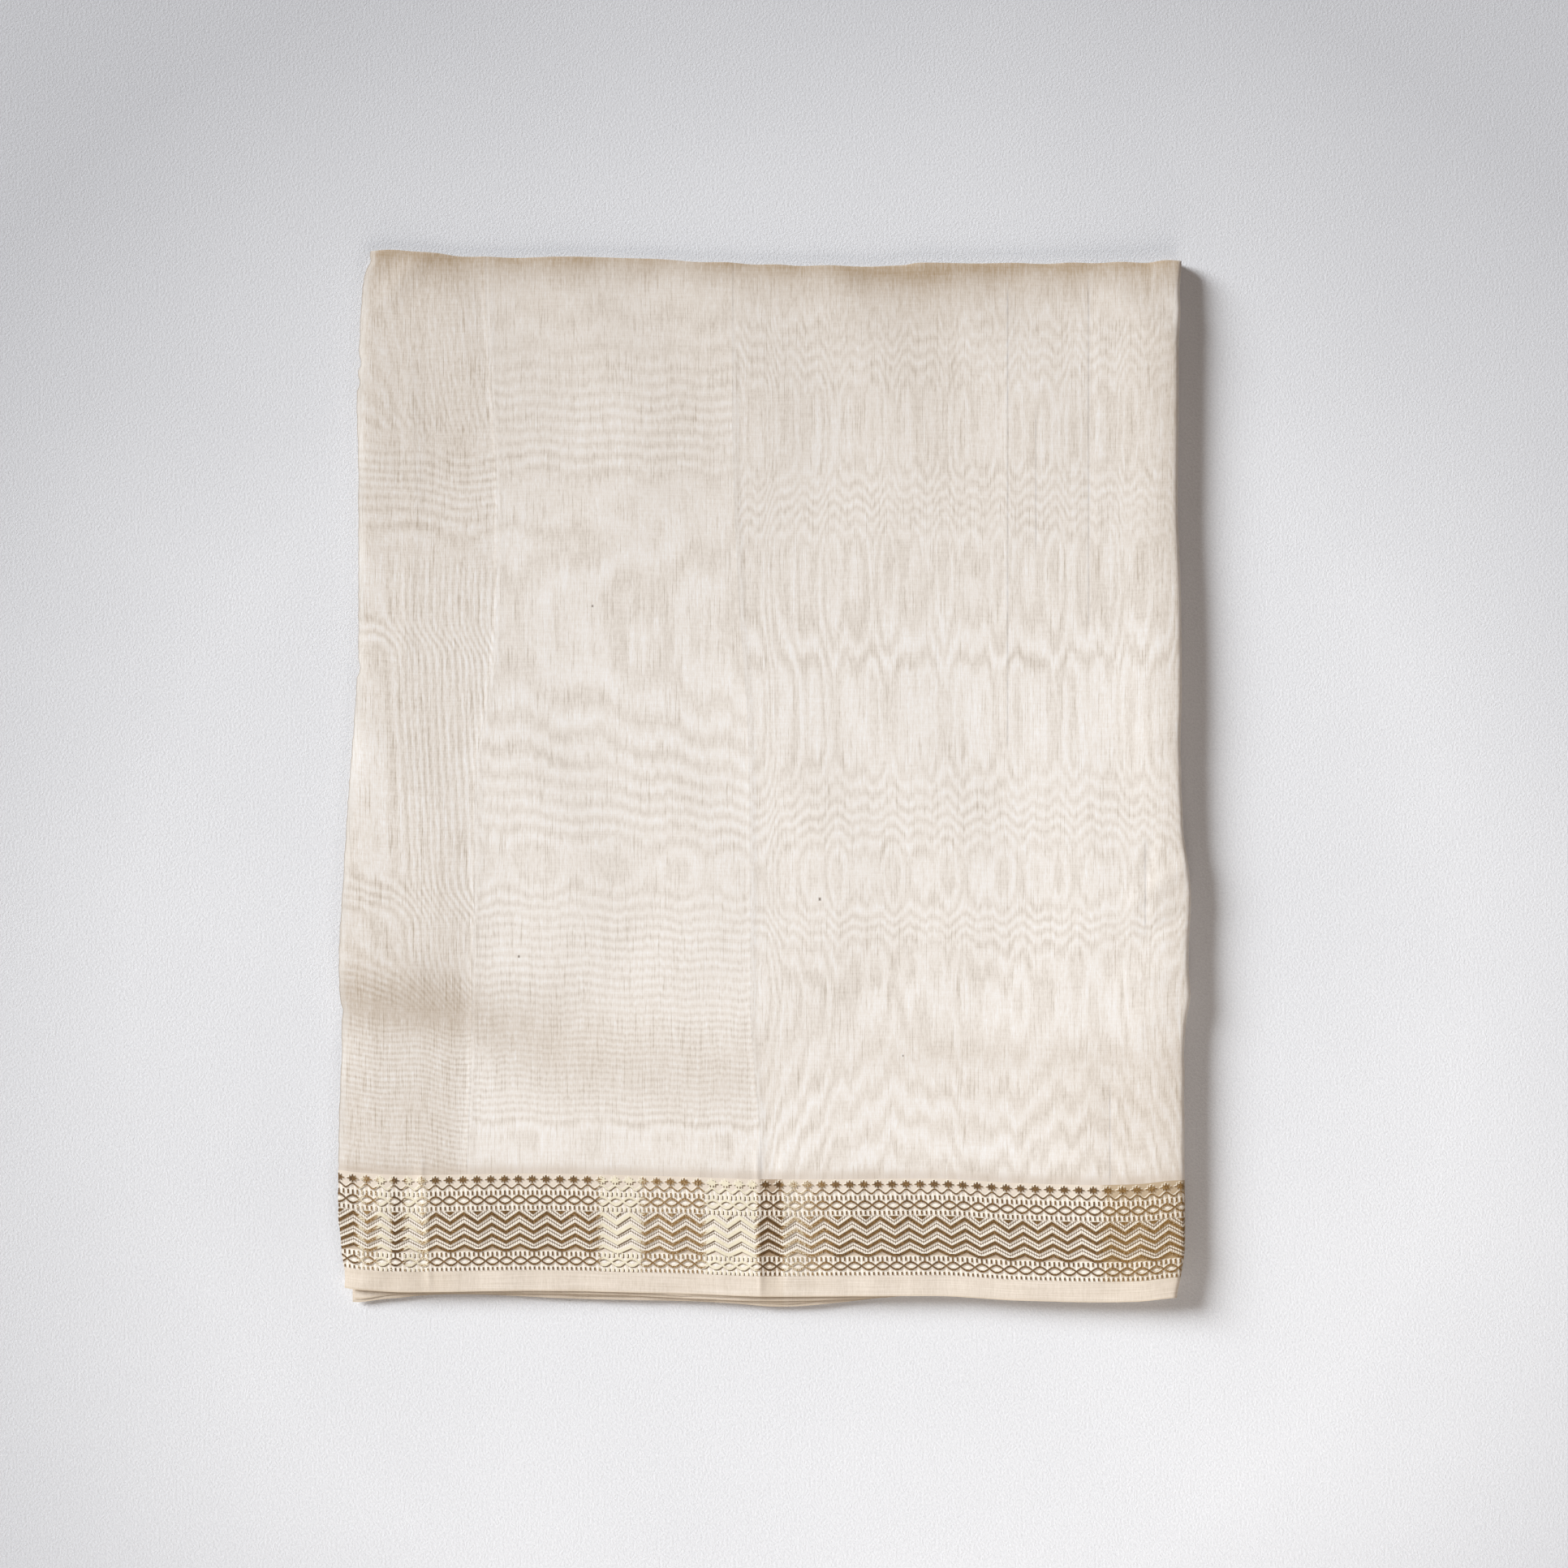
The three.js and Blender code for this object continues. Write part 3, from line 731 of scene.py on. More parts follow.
def under_ply():
    """The flat ply underneath, with its good side facing down."""
    x, y, z = stack_point(under_columns, under_rows)
    x[-1] -= 0.3
    groove = 0 * x
    for curve in crease_lines[:4]:
        groove = groove + 0.35 * hump(x + 4 * np.sin(y / 90), curve(y), 1.8)
    groove = groove + 0.5 * hump(y - 0.1 * x, 60, 9) * hump(x, 0, 120)
    points = np.stack([x + CENTRE_SHIFT[0], y + CENTRE_SHIFT[1], groove], axis=-1)
    u = x + 0 * y
    v = UNDER_FRONT + arc_length(points, 1)
    count, strength = ripples(-x, y)
    # painted shade, as on the top ply
    attributes = {"ripples": count, "ripple_strength": strength, "painted_shade": painted_shade(x, y),
                  "left_crease": x - crease_lines[0](y),
                  "middle_crease": x - crease_lines[1](y), "repeat": repeats(u, v)}
    mesh = cloth_mesh("under_cloth", points, u, v, attributes)
    mesh.flip_normals()
    return piece_of("under_cloth", [mesh], INNER_PLY)


under_cloth = under_ply()
print("underside:", round(area_of(under_cloth), 4), "m2")

# %% [markdown]
# ## Sums on a surface
# A finish is mostly arithmetic: distances, repeats and soft edges. Blender does it with
# Math nodes, which are slow to wire by hand, so a small class lets Python's own signs
# build them. A `Field` is a number that changes over the surface.

# %% A field of numbers


def calculate(operation, *values, clamp=False):
    tree = next(value.socket.id_data for value in values if isinstance(value, Field))
    node = tree.nodes.new("ShaderNodeMath")
    node.operation = operation
    node.use_clamp = clamp
    for socket, value in zip(node.inputs, values):
        if isinstance(value, Field):
            tree.links.new(value.socket, socket)
        else:
            socket.default_value = value
    return Field(node.outputs[0])


class Field:
    def __init__(self, socket):
        self.socket = socket

    def __add__(self, other):
        return calculate("ADD", self, other)

    def __sub__(self, other):
        return calculate("SUBTRACT", self, other)

    def __rsub__(self, other):
        return calculate("SUBTRACT", other, self)

    def __mul__(self, other):
        return calculate("MULTIPLY", self, other)

    def __truediv__(self, other):
        return calculate("DIVIDE", self, other)

    __radd__ = __add__
    __rmul__ = __mul__


def size_of(field):
    return calculate("ABSOLUTE", field)


def both(first, *others):
    for other in others:
        first = calculate("MINIMUM", first, other)
    return first


def either(first, *others):
    for other in others:
        first = calculate("MAXIMUM", first, other)
    return first


def to_and_fro(field, half):
    """0 at every whole repeat, rising to half midway between two."""
    return calculate("PINGPONG", field, half)


def below(field, edge, soft=0.22):
    """1 where the field is below the edge, 0 above it, with a soft border."""
    return calculate("MULTIPLY_ADD", field - edge, -1 / soft, 0.5, clamp=True)


def wave(turns):
    """From 1 to -1 and back in each whole turn."""
    return calculate("COSINE", turns * math.tau)


def noise(u, v, across, along, detail=2.0, roughness=0.5, shift=0.0):
    """Soft noise, whose specks are so many millimetres across and along."""
    tree = u.socket.id_data
    place = tree.nodes.new("ShaderNodeCombineXYZ")
    tree.links.new((u / across + shift).socket, place.inputs["X"])
    tree.links.new((v / along).socket, place.inputs["Y"])
    node = tree.nodes.new("ShaderNodeTexNoise")
    node.noise_dimensions = "2D"
    node.inputs["Scale"].default_value = 1.0
    node.inputs["Detail"].default_value = detail
    node.inputs["Roughness"].default_value = roughness
    tree.links.new(place.outputs[0], node.inputs["Vector"])
    return Field(node.outputs["Fac"])


# %% Groups and materials


def new_group(name, inputs, outputs):
    """An empty node group with named number sockets."""
    group = bpy.data.node_groups.new(name, "ShaderNodeTree")
    for labels, way in ((inputs, "INPUT"), (outputs, "OUTPUT")):
        for label in labels:
            group.interface.new_socket(name=label, in_out=way, socket_type="NodeSocketFloat")
    entry = group.nodes.new("NodeGroupInput")
    exit_node = group.nodes.new("NodeGroupOutput")
    fields = [Field(entry.outputs[label]) for label in inputs]

    def put_out(**results):
        for label, field in results.items():
            group.links.new(field.socket, exit_node.inputs[label])

    return group, fields, put_out


def use_group(group, **values):
    """Places a group in a material and gives back its outputs as fields."""
    tree = next(value.socket.id_data for value in values.values() if isinstance(value, Field))
    node = tree.nodes.new("ShaderNodeGroup")
    node.node_tree = group
    for label, value in values.items():
        if isinstance(value, Field):
            tree.links.new(value.socket, node.inputs[label])
        else:
            node.inputs[label].default_value = value
    return [Field(output) for output in node.outputs]


def new_material(name, roughness, sheen, sheen_roughness):
    """A material, its node tree and its shader."""
    material = bpy.data.materials.new(name)
    material.use_nodes = True
    shader = material.node_tree.nodes["Principled BSDF"]
    shader.inputs["Roughness"].default_value = roughness
    shader.inputs["Sheen Weight"].default_value = sheen
    shader.inputs["Sheen Roughness"].default_value = sheen_roughness
    shader.inputs["Specular IOR Level"].default_value = 0.3
    return material, material.node_tree, shader


def cloth_place(tree):
    """The UV map of a piece of cloth as two fields, in millimetres."""
    node = tree.nodes.new("ShaderNodeUVMap")
    node.uv_map = "cloth"
    split = tree.nodes.new("ShaderNodeSeparateXYZ")
    tree.links.new(node.outputs["UV"], split.inputs[0])
    return Field(split.outputs["X"]) * 1000, Field(split.outputs["Y"]) * 1000


def attribute(tree, name):
    node = tree.nodes.new("ShaderNodeAttribute")
    node.attribute_name = name
    return Field(node.outputs["Fac"])


def mixed_colour(first, second, share):
    """Two colours mixed by a field. Either colour may be a socket."""
    tree = share.socket.id_data
    node = tree.nodes.new("ShaderNodeMix")
    node.data_type = "RGBA"
    tree.links.new(share.socket, node.inputs["Factor"])
    for label, colour in (("A", first), ("B", second)):
        socket = next(s for s in node.inputs if s.name == label and s.type == "RGBA")
        if isinstance(colour, bpy.types.NodeSocket):
            tree.links.new(colour, socket)
        else:
            socket.default_value = (*colour, 1)
    return next(s for s in node.outputs if s.type == "RGBA")


def layered(colour, *layers):
    """A colour with (tint, share) layers mixed over it, one after the other."""
    for tint, share in layers:
        colour = mixed_colour(colour, tint, share)
    return colour


def colour_ramp(field, stops):
    """The colour that a field picks from a row of (place, colour) stops."""
    tree = field.socket.id_data
    ramp = tree.nodes.new("ShaderNodeValToRGB")
    tree.links.new(field.socket, ramp.inputs["Fac"])
    elements = ramp.color_ramp.elements
    elements.remove(elements[1])
    for number, (place, colour) in enumerate(stops):
        stop = elements.new(place) if number else elements[0]
        stop.position = place
        stop.color = (*colour, 1)
    return ramp.outputs["Color"]


def bump(tree, shader, height, depth_mm):
    node = tree.nodes.new("ShaderNodeBump")
    node.inputs["Strength"].default_value = 1.0
    node.inputs["Distance"].default_value = depth_mm * MM
    tree.links.new(height.socket, node.inputs["Height"])
    tree.links.new(node.outputs["Normal"], shader.inputs["Normal"])


# %% [markdown]
# ## The silk itself
# Hand-reeled silk is uneven. Along the warp it shows fine streaks where a thread is
# thicker or thinner, each about a centimetre long, and now and then a crossing thread does
# the same. One group makes those streaks for every material of this cloth, together with
# the plain over-and-under of the weave.

# %% Streaks and weave
THREAD_PITCH = 0.42
silk_group, (u, v), put_out = new_group(
    "silk_threads", ["Across", "Along"], ["Streaks", "Bright", "Weave", "Slubs"])
long_streaks = noise(u, v, 0.6, 11, detail=2, roughness=0.6)
short_streaks = noise(u, v, 0.4, 3.5, detail=2, roughness=0.6, shift=40)
mottles = noise(u, v, 1.5, 3.2, detail=3, roughness=0.65, shift=150)
bands = noise(u, v, 4.5, 55, detail=2, shift=80)
crossing = noise(u, v, 18, 0.7, detail=2, shift=120)
streaks = (long_streaks - 0.5) * 1.15 + (short_streaks - 0.5) * 0.95
streaks = streaks + (mottles - 0.5) * 0.9 + (bands - 0.5) * 0.5 + (crossing - 0.5) * 0.5
# where strong threads get a painted cool highlight
sheen_threads = calculate("MULTIPLY_ADD", long_streaks * 0.5 + bands * 0.5, 7.0, -3.9, clamp=True)
slubs = calculate("MULTIPLY_ADD", noise(u, v, 0.75, 26, detail=1, shift=200), 9.0, -5.6, clamp=True)
over = wave(u / THREAD_PITCH)
under = wave(v / THREAD_PITCH)
put_out(Streaks=streaks, Bright=sheen_threads, Weave=over * under, Slubs=slubs)
print("thread pitch:", THREAD_PITCH, "mm")

# %% [markdown]
# ## A pressed line
# A crease shows as a painted highlight, a fine pale line, with a painted shade line beside
# it. The piece carries its distance from each crease as an attribute, so the line stays
# exactly on the ridge that was modelled.

# %% One group for all pressed lines
line_group, (distance, width, start, end, along), put_out = new_group(
    "pressed_line", ["Distance", "Width", "From", "To", "Along"], ["Light", "Dark"])
inside = both(calculate("MULTIPLY_ADD", along - start, 0.12, 0.0, clamp=True),
              calculate("MULTIPLY_ADD", along - end, -0.12, 0.0, clamp=True))
ragged = noise(distance, along, 2.0, 5.0, detail=2)
near = size_of(distance) / width
light = below(near, 0.5, 0.9) * inside * ragged * 1.7
beside = size_of(distance + width * 1.1) / width
put_out(Light=light, Dark=below(beside, 0.5, 0.9) * inside * ragged * 1.7)

# %% [markdown]
# ## The sheer field
# The colour starts from a warm cream. Ripples and streaks lighten or darken it by a few
# percent each, turned-away parts get a painted brown shade and deep ones go browner too,
# and strong threads get a painted cool highlight. A painted highlight keeps the thick fold
# pale to its edge. The free left edge is a single ply, so it is paler than the stack, with
# a thin dark rim. A row of layers says which tint goes over which, and by how much.

# %% Sheer silk
SILK_TONES = [(0.0, (0.490, 0.415, 0.335)), (0.5, (0.825, 0.765, 0.695)),
              (1.0, (1.0, 1.0, 1.0))]
STRAY_THREADS = [
    # across, width, from, to
    (178.4, 0.7, 370.0, 565.0),
    (149.4, 0.6, 408.0, 492.0),
    (134.2, 0.8, 300.0, 560.0),
    (209.5, 0.8, 200.0, 256.0),
    (190.0, 0.6, 60.0, 122.0),
]
# across, above the selvedge, size
FLECKS = [(30.3, 218.5, 0.62), (-135.1, 184.0, 0.5), (-94.6, 377.0, 0.45), (76.0, 132.0, 0.35)]
sheer, tree, shader = new_material("sheer_silk", 0.65, 0.15, 0.45)
u, v = cloth_place(tree)
streaks, sheen_threads, weave, slubs = use_group(silk_group, Across=u, Along=v)
loose_side = below(attribute(tree, "left_crease"), -1.0, 3.0)
jitter = noise(u, v, 3.0, 48, detail=2, roughness=0.55, shift=7) - 0.5
jitter = jitter * (0.62 - loose_side * 0.32)
wander = (noise(u, v, 26, 18, detail=1, shift=31) - 0.5) * 0.35
ripple = wave(attribute(tree, "ripples") + jitter + wander)
strength = attribute(tree, "ripple_strength")
patchy = noise(u, v, 34, 26, detail=1, shift=17) + 0.35
tone = ripple * strength * patchy * (loose_side * 0.07 + 0.10)
tone = tone + streaks * (loose_side * 0.10 + 0.32) - slubs * (loose_side * 0.08 + 0.21)
blotch = noise(u, v, 60, 70, detail=2, shift=53)
tone = tone + (blotch - 0.5) * 0.14 + weave * 0.05 + 0.52
# painted highlight: a cool sheen on strong threads, stronger over strong ripples
painted_sheen = (strength - 0.55) * sheen_threads * (ripple * 0.5 + 0.6)
from_edge = attribute(tree, "free_edge")
tan = below(v, BORDER_TOP + 4.0, 4.0) * (streaks * 0.5 + 0.45)
# painted highlight keeping the thick fold pale right to its edge
painted_fold_highlight = below(attribute(tree, "fold_edge"), 1.6, 2.0)
light_lines = []
dark_lines = []
# the two creases: a painted highlight on the ridge and a painted shade beside it
for label in ("left_crease", "middle_crease"):
    light, dark = use_group(line_group, Distance=attribute(tree, label), Width=0.9,
                            From=60.0, To=620.0, Along=v)
    light_lines.append(light)
    dark_lines.append(dark)
# stray threads: the dark line is the thread itself, the pale one beside it a painted highlight
for across, width, start, end in STRAY_THREADS:
    light, dark = use_group(line_group, Distance=u - across, Width=width, From=start, To=end,
                            Along=v)
    light_lines.append(light * 0.6)
    dark_lines.append(dark * 2.2)
flecks = [both(below(size_of(u - across), size, 0.5), below(size_of(v - up), size * 1.3, 0.5))
          for across, up, size in FLECKS]
colour = layered(
    colour_ramp(tone, SILK_TONES),
    # painted brown shade where the cloth turns away or lies deep
    ((0.38, 0.27, 0.16), attribute(tree, "painted_shade") * (0.85 - streaks * 0.30)),
    # painted cool highlight
    ((0.90, 0.885, 0.88), calculate("MULTIPLY", painted_sheen, 0.45, clamp=True)),
    ((0.80, 0.765, 0.715), below(from_edge, 3.4, 2.0) * 0.35),
    ((0.34, 0.28, 0.22), below(from_edge, 0.35, 0.5) * 0.7),
    ((0.60, 0.50, 0.405), tan),
    # painted highlight at the thick fold's edge
    ((0.97, 0.93, 0.88), painted_fold_highlight * 0.35),
    # painted highlight on the creases and beside the stray threads
    ((0.90, 0.88, 0.85), either(*light_lines) * 0.16),
    # painted shade beside the creases, and the dark stray threads themselves
    ((0.36, 0.33, 0.32), either(*dark_lines) * 0.20),
    ((0.16, 0.12, 0.09), either(*flecks) * 0.85),
)
tree.links.new(colour, shader.inputs["Base Color"])
bump(tree, shader, streaks * 0.30 + weave * 0.12 + ripple * strength * 0.03, 0.07)
print("sheer silk:", len(tree.nodes), "nodes")

# %% [markdown]
# ## The woven border
# The border is a traditional repeat of the handloom: rows of short bars, chains of
# lozenges, four bands of zigzag and a row of small stars, all counted off on one pitch.
# Charting it with distances keeps every line crisp however close the camera comes. `Up`
# is the distance above the selvedge, and every motif is a soft-edged mask.

# %% Charting the repeat
PITCH = 15.5
# threads from one star to the next, and the height of one thread in mm
STAR_THREADS = 24
THREAD_HEIGHT = 0.40
border_group, (repeat, v), put_out = new_group(
    "border_chart", ["Repeat", "Up"], ["Thread", "Dot", "Pale"])
repeat = calculate("ROUND", repeat * STAR_THREADS) / STAR_THREADS
v = calculate("ROUND", v / THREAD_HEIGHT) * THREAD_HEIGHT
u = repeat * (PITCH / 2)
zig = to_and_fro(u, PITCH / 2)
star = to_and_fro(u, PITCH / 4)
bar = to_and_fro(u, PITCH / 12)
between = PITCH / 12 - bar
bead = to_and_fro(u, PITCH / 24)


def bars(low, high, half_width):
    upright = size_of(v - (low + high) / 2)
    return both(below(bar, half_width), below(upright, (high - low) / 2))


def pale_bars(low, high):
    """Pale bars between the dark ones, from one edge up to another, either a field."""
    return both(below(between, 0.46), below(low - v, 0.0), below(v - high, 0.0))


def lozenges(centre, half_height, thickness):
    outline = wave(star / PITCH) * half_height
    off = size_of(size_of(v - centre) - outline)
    heart = star * 0.5 + size_of(v - centre)
    return below(off, thickness / 2), below(heart, 0.85), outline


def off_zigzag(crest, trough, floor=0.0):
    """Distance up or down from a zigzag line."""
    middle = calculate("MULTIPLY_ADD", zig, -(crest - trough) / (PITCH / 2), crest)
    if floor:
        middle = either(middle, floor)
    return size_of(v - middle)


# crest, trough, floor of the line, thickness
ZIGZAGS = [(43.0, 37.8, 0.0, 2.2), (36.9, 32.3, 0.0, 2.1), (31.1, 26.9, 0.0, 2.1),
           (25.4, 21.8, 22.5, 1.8)]
BEAD_ROWS = [(46.2, 40.6), (39.95, 35.05), (34.0, 29.6), (28.25, 24.35)]
threads = []
dots = []
pales = []
for crest, trough, floor, thickness in ZIGZAGS:
    threads.append(below(off_zigzag(crest, trough, floor), thickness / 2))
for crest, trough in BEAD_ROWS:
    off = off_zigzag(crest, trough)
    dots.append(both(below(off, 0.42), below(bead, 0.40)))
    pales.append(both(below(size_of(off - 0.86), 0.50), below(PITCH / 24 - bead, 0.48)))
under_ceiling = below(v, 44.4)
wedge_off = PITCH / 2 - zig - (v - 41.9) * 1.25
wedge = both(below(size_of(v - 43.1), 1.15), below(wedge_off, 0.0))
scallop_line = wave(repeat) * 1.1 + 57.6
off_star = size_of(v - STAR_LEVEL)
diamond = below(star / 2.9 + off_star / 1.75, 1.0, 0.16)
arms = either(both(below(star, 3.2), below(off_star, 0.38)),
              both(below(star, 0.42), below(off_star, 2.3)),
              both(below(size_of(star - 1.5), 0.36), below(off_star, 1.7)))
low_chain, low_heart, low_outline = lozenges(16.7, 2.0, 1.25)
high_chain, high_heart, high_outline = lozenges(50.2, 2.1, 1.3)
thread = either(*threads, wedge, below(size_of(v - scallop_line), 0.55), diamond, arms,
                low_chain, high_chain, bars(19.5, 21.7, 0.52), bars(44.8, 47.0, 0.52),
                bars(53.1, 55.3, 0.52), bars(11.6, 13.5, 0.45))
dot = both(either(*dots), under_ceiling, below(v * -1, -22.8))
pale = both(either(*pales), under_ceiling, below(v * -1, -23.4))
pale = either(pale, low_heart, high_heart, pale_bars(11.4, 16.0 - low_outline),
              pale_bars(low_outline + 17.4, 22.0), pale_bars(44.6, 49.5 - high_outline),
              pale_bars(high_outline + 50.9, scallop_line - 0.8))
put_out(Thread=thread, Dot=dot, Pale=pale - both(thread, pale))
print("one repeat:", PITCH, "mm, bands of zigzag:", len(ZIGZAGS))

# %% [markdown]
# ## Metal thread in the light
# Flat metal thread is wound on silk, so it throws light one way: whole stretches of the
# border flash pale gold and the next ones stay dark bronze, as the cloth tilts a degree or
# two between its creases. That flash is a painted reflection here: a colour ramp across the
# cloth paints each stretch its share of pale gold, and its ends are ragged because each
# thread lets go of the light at its own place. Painted shade darkens one pressed pleat, and
# each thread gets a painted highlight on one side and a painted shade on the other.

# %% Metal-thread border
BAND_MIDDLE = 33.4
BAND_HALF = 10.9
GOLDEN_FROM = 185.5
# painted shade in one pressed pleat across the border
PLEAT_SHADE_MIDDLE = 3.6
PLEAT_SHADE_HALF = 6.0
LEFT_END = -236.0
RIGHT_END = 240.0
# painted reflection from 0, dark bronze, to 1, flashing gold, at places across in mm
PAINTED_FLASH_TONES = [
    (-234, 0.08), (-225, 0.10), (-222.5, 0.85), (-218.5, 0.35), (-214, 0.40), (-212.5, 0.92),
    (-206, 0.92), (-204.5, 0.0), (-199, 0.0), (-197.5, 0.88), (-190, 0.85), (-188.5, 0.30),
    (-186, 0.85), (-184.8, 0.14), (-120, 0.14), (-92, 0.20), (-89, 0.97), (-70, 0.95),
    (-66, 0.38), (-34, 0.36), (-31, 0.96), (-5, 0.92), (-3, 0.0), (9, 0.0), (11, 0.64),
    (24, 0.48), (40, 0.16), (184, 0.12), (189, 0.27), (233, 0.29),
]
# metal colours from dark bronze to the pale gold of the painted reflection
METAL_AND_REFLECTION_SHADES = [
    (0.0, (0.115, 0.056, 0.016)), (0.42, (0.38, 0.21, 0.06)), (0.8, (1.0, 0.918, 0.70)),
]
metal, tree, shader = new_material("metal_thread_border", 0.5, 0.12, 0.5)
u, v = cloth_place(tree)
streaks, *others = use_group(silk_group, Across=u, Along=v)
repeat = attribute(tree, "repeat")
thread, dot, pale = use_group(border_group, Repeat=repeat, Up=v)
# the chart shifted to each thread's lit side and far side, for a painted highlight and a painted
# shade
lit_side, *others = use_group(border_group, Repeat=repeat + 0.055, Up=v - 0.45)
far_side, *others = use_group(border_group, Repeat=repeat - 0.085, Up=v + 0.65)
ragged_u = u + (noise(v, u, 0.55, 30, detail=2, shift=5) - 0.5) * 5.0
width = RIGHT_END - LEFT_END
painted_flash = Field(colour_ramp((ragged_u - LEFT_END) / width,
                          [((place - LEFT_END) / width, [level] * 3) for place, level in PAINTED_FLASH_TONES]))
speck = noise(u, v, 0.8, 0.5, detail=1, shift=9)
gold_and_reflection = colour_ramp(calculate("ADD", painted_flash, streaks * 0.35 + (speck - 0.5) * 0.9, clamp=True),
                   METAL_AND_REFLECTION_SHADES)
band = below(size_of(v - BAND_MIDDLE), BAND_HALF, 0.8)
golden_end = below(GOLDEN_FROM - u, 0.0, 4.0)
# painted shade in the pressed pleat
pleat_shade = below(size_of(u - PLEAT_SHADE_MIDDLE), PLEAT_SHADE_HALF, 1.6)
# the band's ground is brown, paler where the painted reflection flashes
share = band * calculate("ADD", 0.70 - painted_flash * 0.62, golden_end * 0.62)
# painted highlight beside each thread on its lit side, painted shade on its far side
edge_light = calculate("MULTIPLY", both(lit_side, 1 - thread), 0.55 + speck * 0.4, clamp=True)
shade_side = calculate("MULTIPLY", both(far_side, 1 - thread), 0.26 + painted_flash * 0.74, clamp=True)
colour = layered(
    (0.78, 0.68, 0.57),
    ((0.46, 0.34, 0.225), share),
    ((0.38, 0.25, 0.11), golden_end * 0.7),
    # painted shade in the pressed pleat
    ((0.27, 0.15, 0.055), pleat_shade * 0.65),
    ((0.98, 0.91, 0.76), edge_light),
    ((0.98, 0.92, 0.825), pale * (0.97 - golden_end * 0.2 - pleat_shade * 0.15)),
    ((0.10, 0.060, 0.028), dot * 0.85),
    ((0.135, 0.08, 0.032), shade_side),
    # thread colour, with its painted reflection
    (gold_and_reflection, thread * 0.95),
)
tree.links.new(colour, shader.inputs["Base Color"])
tree.links.new((thread * (0.40 - painted_flash * 0.22)).socket, shader.inputs["Metallic"])
tree.links.new((0.62 - thread * 0.20).socket, shader.inputs["Roughness"])
bump(tree, shader, thread * 0.6 + pale * 0.5 + streaks * 0.12, 0.14)
print("metal thread:", len(tree.nodes), "nodes")

# %% [markdown]
# ## The plain selvedge
# Below the border a plain stripe closes the cloth. It is woven more tightly, so it is
# warmer and less streaky than the field, with fine ribs that run along the edge. Painted
# brown shade falls on it where it turns away or lies under other plies, and in one pressed
# pleat.

# %% Plain selvedge
plain, tree, shader = new_material("plain_selvedge", 0.68, 0.2, 0.5)
u, v = cloth_place(tree)
streaks, sheen_threads, weave, slubs = use_group(silk_group, Across=u, Along=v)
ribs = noise(u, v, 40, 0.6, detail=2, shift=3) - 0.5
# painted shade in the same pressed pleat, on the selvedge
selvedge_pleat_shade = below(size_of(u - 3.8), 6.6, 1.2) * below(attribute(tree, "free_edge") * -1, 0.0)
colour = layered(
    (0.65, 0.56, 0.455),
    ((0.88, 0.79, 0.69), streaks * 0.6 + ribs * 1.0 + 0.55),
    # painted brown shade where the cloth turns away or lies under other plies
    ((0.50, 0.37, 0.22), attribute(tree, "painted_shade") * 0.45),
    ((0.58, 0.47, 0.34), selvedge_pleat_shade * 0.30),
    ((0.60, 0.48, 0.33), below(v, 0.7, 0.8) * 0.45),
)
tree.links.new(colour, shader.inputs["Base Color"])
bump(tree, shader, streaks * 0.25 + ribs * 0.4 + weave * 0.1, 0.10)
print("plain selvedge:", len(tree.nodes), "nodes")

# %% [markdown]
# ## Dressing the pieces
# The three stretches of the top ply take one material each. The panels inside and the ply
# underneath run through selvedge, border and field, so their faces pick a material by how
# far they lie from the selvedge.

# %% Giving out the materials


def dress_by_distance(obj):
    """Field, border or selvedge, by each face's distance from the selvedge."""
    mesh = obj.data
    for material in (sheer, metal, plain):
        mesh.materials.append(material)
    uv = np.empty(len(mesh.loops) * 2)
    mesh.uv_layers["cloth"].uv.foreach_get("vector", uv)
    distance = uv.reshape(-1, 4, 2)[:, :, 1].mean(axis=1) / MM
    index = np.where(distance > BORDER_TOP, 0, np.where(distance > SELVEDGE_BAND, 1, 2))
    mesh.polygons.foreach_set("material_index", index.astype(np.int32))


cloth_field.data.materials.append(sheer)
cloth_border.data.materials.append(metal)
cloth_selvedge.data.materials.append(plain)
dress_by_distance(inner_panels)
dress_by_distance(under_cloth)
for piece in peeking:
    piece.data.materials.append(plain)

# %% [markdown]
# ## Attaching the pieces
# Each piece rides on the root body, the solids it stands for are hidden, and the size of
# its cloth before it was folded is printed, with the share of that which the piece covers.
# The flat sizes are those of the stretch that the piece shows, measured along the cloth,
# round its folds.

# %% Attaching the cloth


def declare(piece, nodes, flat):
    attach(piece, "root")
    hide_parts(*nodes)
    print(piece.name, "flat", flat, "share", round(area_of(piece) / (flat[0] * flat[1]), 3))


declare(cloth_field, ["top_ply_field"], (0.480, 0.515))
declare(cloth_border, ["top_ply_border"], (0.480, 0.0533))
declare(cloth_selvedge, ["top_ply_selvedge"], (0.480, 0.0112))
declare(inner_panels, ["inner_layers"], (1.100, 1.830))
for piece in peeking:
    node_name = piece.name.replace("peeking", "inner_ply")
    declare(piece, [node_name], (0.0155, 1.370))
declare(under_cloth, ["under_ply"], (0.455, 0.573))

# %% [markdown]
# ## Floor, light and camera
# The cloth lies on a plain pale surface. One large soft window stands at its left, a
# little towards the top, and low, so the thick fold throws a soft shadow to the right.
# A warm, weak surround fills the shadow, and two wide panels light the cloth from the near
# side. Painted shade darkens the floor beyond a wide painted pool of light round the cloth,
# and the pale backdrop is there for the camera alone.

